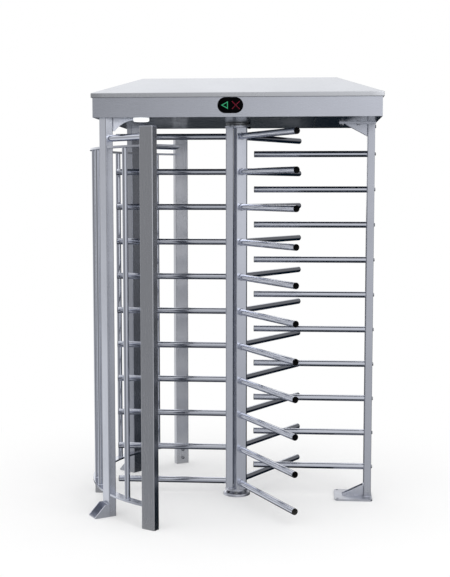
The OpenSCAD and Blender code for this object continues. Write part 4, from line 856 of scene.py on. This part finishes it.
def lid_profile(bend, skin):
    """Half widths, counted from the lid's sides, and heights of one face of the lid from its lip up to the
    flat top. The lip turns into the slope round a bend, and the slope into the top round another: the
    tangent points of a bend that turns by t stand bend tan(t / 2) from its corner."""
    low, eaves, top = LID_Z
    slope = math.atan2(top - eaves, LID_RUN)
    steep = np.pi / 2 - slope
    rise = np.linspace(0.0, steep, 7)
    crest = np.linspace(steep, np.pi / 2, 5)
    lower = bend * math.tan(steep / 2)
    upper = bend * math.tan(slope / 2)
    out = np.concatenate([[0.0], bend * (np.cos(rise) - 1.0), -LID_RUN - upper + bend * np.cos(crest)])
    z = np.concatenate([[low + HEM_ROUND], eaves - lower + bend * np.sin(rise),
                        top - bend + bend * np.sin(crest)])
    return out - skin, z - np.where(z > low + 1.25 * HEM_ROUND, skin, 0.0)


def lid_surface(bend, sag):
    """The folded sheet of the lid as one closed skin: the outer face from the middle of the top down to
    the hem, and the inner face back up. On the flat top it dips by
    sag (1 - u^2)(1 - v^2)(1.2 + sin(2.1 pi u + 0.6) cos(1.7 pi v)) / 2.2, with u and v from -1 to 1."""
    half = np.array(LID_HALF)
    faces = []
    for skin, radius in ((0.0, bend), (SHEET, bend - SHEET)):
        out, z = lid_profile(radius, skin)
        share = np.linspace(0.0, 0.92, 12)[:, None]
        flat = (half + out[-1]) * share
        folded = half + out[::-1, None]
        plan = np.concatenate([flat, folded])
        height = np.concatenate([np.full(len(share), z[-1]), z[::-1]])
        corner = np.minimum(radius, 0.4 * plan[:, 1])
        rows = lofted(plan[:, 0], plan[:, 1], corner, height, side_steps=24)
        u, v = rows[..., 0] / plan[len(share), 0], rows[..., 1] / plan[len(share), 1]
        dip = np.clip(1.0 - u * u, 0.0, 1.0) * np.clip(1.0 - v * v, 0.0, 1.0)
        rows[..., 2] -= sag / 2.2 * dip * (1.2 + np.sin(2.1 * np.pi * u + 0.6) * np.cos(1.7 * np.pi * v))
        faces.append(rows)
    hem = lofted(LID_HALF[0] - SHEET / 2, LID_HALF[1] - SHEET / 2, bend / 2, [LID_Z[0]], side_steps=24)
    return np.concatenate([faces[0], hem, faces[1][::-1]]) + [LID_MIDDLE_X, 0.0, 0.0]


class TURNSTILE_OT_lid(bpy.types.Operator):
    """The lid: one folded sheet with rounded bends, a hem, a top that is not quite flat, and strikers"""
    bl_idname = "turnstile.lid"
    bl_label = "Lid"

    def execute(self, context):
        sizes = context.scene.turnstile_sizes
        sheets = [lid_surface(sizes.bend_radius, sizes.sheet_sag)]
        near_y, far_y = STRIKER_Y
        low, hook_z, plate_z = STRIKER_Z
        for end in (-1.0, 1.0):
            back, front, tip = (LID_MIDDLE_X + end * (LID_HALF[0] - inset) for inset in STRIKER_IN)
            plate, hook = (front, plate_z, 0.0009, 0.0008), (tip, hook_z, 0.0015, 0.0012)
            for other, top, corner, edge in (plate, hook):
                left, right = sorted((other, back))
                sheets.append(rounded_block((left, near_y, low), (right, far_y, top), corner, edge))
        make_piece("lid", sheets, "lid_sheet", "lid", ["roof_lid"])
        return {"FINISHED"}


def dish_surface(radius, height, rim=0.009, neck=0.030, neck_h=0.003):
    """A lamp's dish with its face on z = 0: at radius r, in mm, the face stands
    0.3 (1 - cos(2 pi r / 3.5)) mm in, a quarter circle leads up to the side, and a neck stands on the
    back."""
    r = np.linspace(0.0, radius - rim, 73)
    face = np.stack([r, 0.0003 * (1.0 - np.cos(2.0 * np.pi * r / 0.0035))], -1)
    a = np.linspace(0.0, np.pi / 2, 9)
    turn = np.stack([radius - rim + rim * np.sin(a), rim - rim * np.cos(a)], -1)
    top = height - neck_h
    back = [[radius, top - 0.0005], [radius - 0.0005, top], [neck, top], [neck, height], [0.0, height]]
    return revolved(np.concatenate([face, turn, back]), 96)


class TURNSTILE_OT_lamp(bpy.types.Operator):
    """The ceiling lamp's dish, with a rounded rim and fine rings moulded into its face"""
    bl_idname = "turnstile.lamp"
    bl_label = "Ceiling lamp"

    def execute(self, context):
        low, high = np.array(LENS_BOX[0]), np.array(LENS_BOX[1])
        size, middle = high - low, (high + low) / 2
        dish = dish_surface(size[0] / 2, size[2]) + [middle[0], middle[1], low[2]]
        make_piece("lamp_dish", [dish], "lamp_diffuser", "frame", ["lamp_lens"])
        return {"FINISHED"}


def case_surface(half_width, half_height, deep, rim=0.0014, groove=0.0006):
    """An oval case with its face at z = 0: the rim is rounded by a quarter circle, and a groove runs round
    the window."""
    a = np.linspace(0.0, np.pi / 2, 6)
    step_in = np.concatenate([[0.0], rim * (1.0 - np.cos(a)), [0.0045, 0.0047, 0.0058, 0.0060]])
    depth = np.concatenate([[-deep], rim * (np.sin(a) - 1.0), [0.0, -groove, -groove, 0.0]])
    half = half_height - step_in
    return lofted(half_width - step_in, half, half, depth, corner_steps=16)


class TURNSTILE_OT_indicators(bpy.types.Operator):
    """The oval indicators: a rounded rim, a fine groove round the window, and the box behind"""
    bl_idname = "turnstile.indicators"
    bl_label = "Indicators"

    def execute(self, context):
        proud = 0.0025
        box_half, box_y = (0.052, 0.035), (-0.5075, -0.4775)
        middle = (UNIT_BOX[0].z + UNIT_BOX[1].z) / 2
        case = placed(case_surface(0.0635, 0.039, 0.0055), (0.0, -FASCIA_Y - proud, middle), FRONT)
        box = rounded_block((-box_half[0], box_y[0], middle - box_half[1]),
                            (box_half[0], box_y[1], middle + box_half[1]), 0.003, 0.002)
        sheets = [turned(part, angle) for part in (case, box) for angle in (0.0, math.pi)]
        make_piece("indicator_cases", sheets, "indicator_black", "frame", ["indicator_units"])
        return {"FINISHED"}


def ridges(low, high, inset, thick, tall, count, rounding):
    """Evenly spaced ridges along X that stand inset from the sides of a box and end level with its top."""
    return [rounded_block((low[0] + inset[0], y - thick / 2, high[2] - tall),
                          (high[0] - inset[0], y + thick / 2, high[2]), *rounding)
            for y in np.linspace(low[1] + inset[1], high[1] - inset[1], count)]


class TURNSTILE_OT_electrics(bpy.types.Operator):
    """The control unit with its screwed and ribbed cover, and the power supply with its cooling fins"""
    bl_idname = "turnstile.electrics"
    bl_label = "Control unit and power supply"

    def execute(self, context):
        low, high = np.array(CONTROL_BOX[0]), np.array(CONTROL_BOX[1])
        cover_h, cover_in, rib_h, screw_in, screw_r = 0.0066, 0.006, 0.0015, 0.018, 0.0045
        split, cover_z = high[2] - cover_h, high[2] - rib_h
        cover_low = (low[0] + cover_in, low[1] + cover_in, split)
        cover_high = (high[0] - cover_in, high[1] - cover_in, cover_z)
        sheets = [rounded_block(low, (high[0], high[1], split), 0.008, 0.0015),
                  rounded_block(cover_low, cover_high, 0.008, 0.002)]
        sheets += ridges(low, high, (0.030, 0.060), 0.006, 0.0025, 9, (0.002, 0.0010))
        rise = np.linspace(0.0, np.pi / 2, 6)
        dome = np.stack([screw_r * np.cos(rise), 0.0015 * np.sin(rise)], -1)
        screw = revolved(np.concatenate([[[0.0, -0.002], [screw_r, -0.002]], dome]), 24)
        sheets += [screw + [x, y, high[2] - 0.0016] for x in (low[0] + screw_in, high[0] - screw_in)
                   for y in (low[1] + screw_in, high[1] - screw_in)]
        make_piece("control_unit", sheets, "control_plastic", "frame", ["control_box"])

        low, high = np.array(SUPPLY_BOX[0]), np.array(SUPPLY_BOX[1])
        sheets = [rounded_block(low, (high[0], high[1], high[2] - 0.004), 0.003, 0.0015)]
        sheets += ridges(low, high, (0.010, 0.012), 0.0036, 0.005, 23, (0.0016, 0.0012))
        make_piece("supply_unit", sheets, "supply_metal", "frame", ["power_supply"])
        return {"FINISHED"}


class TURNSTILE_OT_stage(bpy.types.Operator):
    """The pale floor, the room's light, the lamps and the camera of the photograph"""
    bl_idname = "turnstile.stage"
    bl_label = "Stage"

    def execute(self, context):
        studio = context.scene.turnstile_studio
        make_floor(tuple(studio.floor_colour))
        make_room(studio.plain_level)
        add_lamp("key", (2.6, -3.4, 3.9), (0.0, 0.0, 1.1), 2.4, studio.key_power, True)
        add_lamp("fill", (-3.6, -2.8, 3.0), (0.0, 0.0, 1.1), 2.8, studio.fill_power)
        add_lamp("top", (0.2, -0.8, 5.0), (0.0, 0.0, 1.8), 3.2, studio.top_power)
        place_camera()
        context.scene.view_settings.view_transform = "Standard"
        return {"FINISHED"}


FLOOR_REACH = 30.0
FLOOR_WHITENS = (0.7, 2.3)       # distances from the axis between which the floor turns white
FLOOR_WHITE = (0.3, 1.0)         # its share of white at those distances


def make_floor(colour):
    """A wide pale floor: near the machine it is matt and keeps a lightened shadow, further out it is
    white."""
    mesh = bpy.data.meshes.new("floor")
    corners = [(x * FLOOR_REACH, y * FLOOR_REACH, 0.0) for x, y in ((-1, -1), (1, -1), (1, 1), (-1, 1))]
    mesh.from_pydata(corners, [], [(0, 1, 2, 3)])
    wires, shader = new_finish("floor_matt")
    place = wires.object_place()
    tone = wires.blend(wires.noise(place, 220.0, 3.0, 0.6), scaled(colour, 0.985), scaled(colour, 1.01))
    wires.connect(shader, Base_Color=tone, Roughness=0.9, Specular_IOR_Level=0.1)
    away = wires.vectors("LENGTH", place)["Value"]
    fade = wires.spread(away, *FLOOR_WHITENS, *FLOOR_WHITE, "SMOOTHSTEP")
    sight = wires.node("ShaderNodeLightPath").outputs
    seen = wires.sums("MAXIMUM", sight["Is Camera Ray"], sight["Is Transmission Ray"])
    white = wires.node("ShaderNodeEmission", None, Strength=1.0).outputs[0]
    shown = (wires.sums("MULTIPLY", fade, seen), shader.outputs[0], white)
    mixed = wires.fill(wires.node("ShaderNodeMixShader"), shown)
    wires.feed(wires.tree.nodes["Material Output"].inputs["Surface"], mixed)
    mesh.materials.append(bpy.data.materials["floor_matt"])
    floor = bpy.data.objects.new("floor", mesh)
    bpy.context.scene.collection.objects.link(floor)
    floor.visible_glossy = False


# Brightness of the studio as polished metal sees it: degrees from behind the camera towards the right, the
# level of the walls there, and the level of the ground below them
STUDIO_LEVELS = (
    (-180, 1.24, 0.034), (-171, 1.24, 0.04), (-160, 1.15, 0.10), (-140, 0.98, 0.45), (-120, 0.78, 1.20),
    (-95, 0.54, 0.75), (-68, 0.34, 0.30), (-40, 0.34, 0.34), (-14, 0.29, 0.46), (-9, 0.40, 0.52),
    (-4, 0.66, 0.60), (0, 0.93, 0.66), (5, 1.02, 0.70), (30, 1.05, 0.66), (54, 1.16, 0.48),
    (61, 0.88, 0.62), (66, 0.64, 0.52), (82, 0.40, 0.16), (101, 0.18, 0.006), (114, 0.22, 0.010),
    (140, 0.26, 0.007), (160, 0.60, 0.007))
SKY_BEHIND = 1.31
SKY_FRONT = 0.88
SKY_RIGHT = 0.20                 # behind the machine on its right
SHADE = (-0.006, 0.0, 0.008)     # the ground leans to blue, which shows where it is dark

# Parts of a unit direction between which one level of the studio turns into the next
WALL_TO_SKY = (0.2, 0.55)        # upwards
FRONT_TO_BEHIND = (-0.3, 0.3)    # away from the camera
SKY_TO_RIGHT = (0.12, 0.32)      # to the right
TO_FAR_OFF = (0.6, 0.9)          # away from the camera
WALL_TO_GROUND = (0.22, 0.03)    # downwards from level, for directions elsewhere and for those far off
STEEP = (0.32, 0.62)             # downwards: the bearing that the ground goes by is shifted
STEEP_SHIFT = (0.0, 0.85)


def studio_ramp(wires, place, column):
    """One column of the studio's levels, looked up by the bearing's place between 0 and 1."""
    ramp = wires.node("ShaderNodeValToRGB")
    wires.feed(ramp.inputs[0], place)
    stops = ramp.color_ramp.elements
    stops.remove(stops[1])
    for number, levels in enumerate(STUDIO_LEVELS):
        where = (levels[0] + 180.0) / 360.0
        stop = stops.new(where) if number else stops[0]
        stop.position = where
        tint = SHADE if column == 2 else (0.0, 0.0, 0.0)
        stop.color = (*[max(0.0, levels[column] + part) for part in tint], 1.0)
    return ramp.outputs[0]


def bearing_place(wires, axes, shift):
    """The bearing of a direction, from 0 to 1, after a shift away from the camera."""
    towards = wires.sums("MULTIPLY", wires.sums("ADD", axes["Y"], shift), -1.0)
    return wires.spread(wires.sums("ARCTAN2", axes["X"], towards), -math.pi, math.pi)


def make_room(plain_level):
    """The room: white to the camera, an even level on matt surfaces, and for polished metal walls and a
    ground that change round the room, under a sky that is bright but for the right side behind the
    machine."""
    world = bpy.data.worlds.new("room")
    bpy.context.scene.world = world
    world.use_nodes = True
    wires = Wiring(world.node_tree)
    axes = wires.components(wires.node("ShaderNodeTexCoord").outputs["Generated"])
    behind = wires.spread(axes["Y"], *FRONT_TO_BEHIND, shape="SMOOTHSTEP")
    sky = wires.blend(behind, (SKY_FRONT,) * 3, (SKY_BEHIND,) * 3)
    aside = wires.spread(axes["X"], *SKY_TO_RIGHT)
    sky = wires.blend(wires.sums("MULTIPLY", aside, behind), sky, (SKY_RIGHT,) * 3)
    overhead = wires.spread(axes["Z"], *WALL_TO_SKY, shape="SMOOTHSTEP")
    walls = wires.blend(overhead, studio_ramp(wires, bearing_place(wires, axes, 0.0), 1), sky)
    drop = wires.sums("MULTIPLY", axes["Z"], -1.0)
    steep = wires.spread(drop, *STEEP, *STEEP_SHIFT)
    ground = studio_ramp(wires, bearing_place(wires, axes, steep), 2)
    far_off = wires.spread(axes["Y"], *TO_FAR_OFF)
    below = wires.sums("DIVIDE", drop, wires.between(far_off, *WALL_TO_GROUND), clamp=True)
    reflected = wires.blend(below, walls, ground)
    sight = wires.node("ShaderNodeLightPath").outputs
    in_metal = wires.sums("MAXIMUM", sight["Is Glossy Ray"], sight["Is Transmission Ray"])
    level = wires.blend(in_metal, (plain_level,) * 3, reflected)
    level = wires.blend(sight["Is Camera Ray"], level, (1.0, 1.0, 1.0))
    wires.feed(world.node_tree.nodes["Background"].inputs["Color"], level)
    world.cycles.sampling_method = "NONE"


def aimed(name, data, place, back, side):
    """A new object at a place, with its Z and X axes along two unit directions."""
    thing = bpy.data.objects.new(name, data)
    axes = np.column_stack([side, np.cross(back, side), back])
    thing.matrix_world = Matrix.Translation(place) @ Matrix(axes.tolist()).to_4x4()
    bpy.context.scene.collection.objects.link(thing)
    return thing


def add_lamp(name, place, target, size, power, mirrored=False):
    """A square soft lamp at a place, aimed at a target, that polished metal may mirror."""
    light = bpy.data.lights.new(name, "AREA")
    light.size = size
    light.energy = power
    back = unit(np.subtract(place, target))
    lamp = aimed(name, light, place, back, square_to(back))
    lamp.visible_glossy = mirrored


def place_camera():
    """The photograph's camera: a long lens a little left of straight ahead and slightly down."""
    camera = bpy.data.cameras.new("camera")
    camera.sensor_fit = "VERTICAL"
    camera.sensor_height = 36.0
    camera.lens = FOCAL_PX / PHOTO_HEIGHT * camera.sensor_height
    ahead = unit(CAMERA_AHEAD)
    right = unit(np.cross(ahead, CAMERA_UP))
    bpy.context.scene.camera = aimed("camera", camera, CAMERA_PLACE, -ahead, right)


class TURNSTILE_PT_panel(bpy.types.Panel):
    """Lists the steps that build the turnstile"""
    bl_idname = "TURNSTILE_PT_panel"
    bl_label = "Turnstile"
    bl_space_type = "VIEW_3D"
    bl_region_type = "UI"
    bl_category = "Turnstile"

    def draw(self, context):
        for group_name, group_class in GROUPS.items():
            box = self.layout.box()
            for name in group_class.__annotations__:
                box.prop(getattr(context.scene, group_name), name)
        for step in STEPS:
            self.layout.operator(step.bl_idname)


GROUPS = {"turnstile_sizes": TurnstileSizes, "turnstile_finish": TurnstileFinish,
          "turnstile_studio": TurnstileStudio}
STEPS = (TURNSTILE_OT_finishes, TURNSTILE_OT_rotor_welds, TURNSTILE_OT_frame_welds, TURNSTILE_OT_plugs,
         TURNSTILE_OT_fasteners, TURNSTILE_OT_lid, TURNSTILE_OT_lamp, TURNSTILE_OT_indicators,
         TURNSTILE_OT_electrics, TURNSTILE_OT_stage)


def register():
    for cls in (*GROUPS.values(), *STEPS, TURNSTILE_PT_panel):
        bpy.utils.register_class(cls)
    for name, group in GROUPS.items():
        setattr(bpy.types.Scene, name, PointerProperty(type=group))


def unregister():
    for name in GROUPS:
        delattr(bpy.types.Scene, name)
    for cls in reversed((*GROUPS.values(), *STEPS, TURNSTILE_PT_panel)):
        bpy.utils.unregister_class(cls)


def main():
    """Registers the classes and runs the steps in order."""
    register()
    bpy.ops.turnstile.finishes()
    bpy.ops.turnstile.rotor_welds()
    bpy.ops.turnstile.frame_welds()
    bpy.ops.turnstile.plugs()
    bpy.ops.turnstile.fasteners()
    bpy.ops.turnstile.lid()
    bpy.ops.turnstile.lamp()
    bpy.ops.turnstile.indicators()
    bpy.ops.turnstile.electrics()
    bpy.ops.turnstile.stage()


if __name__ == "__main__":
    main()
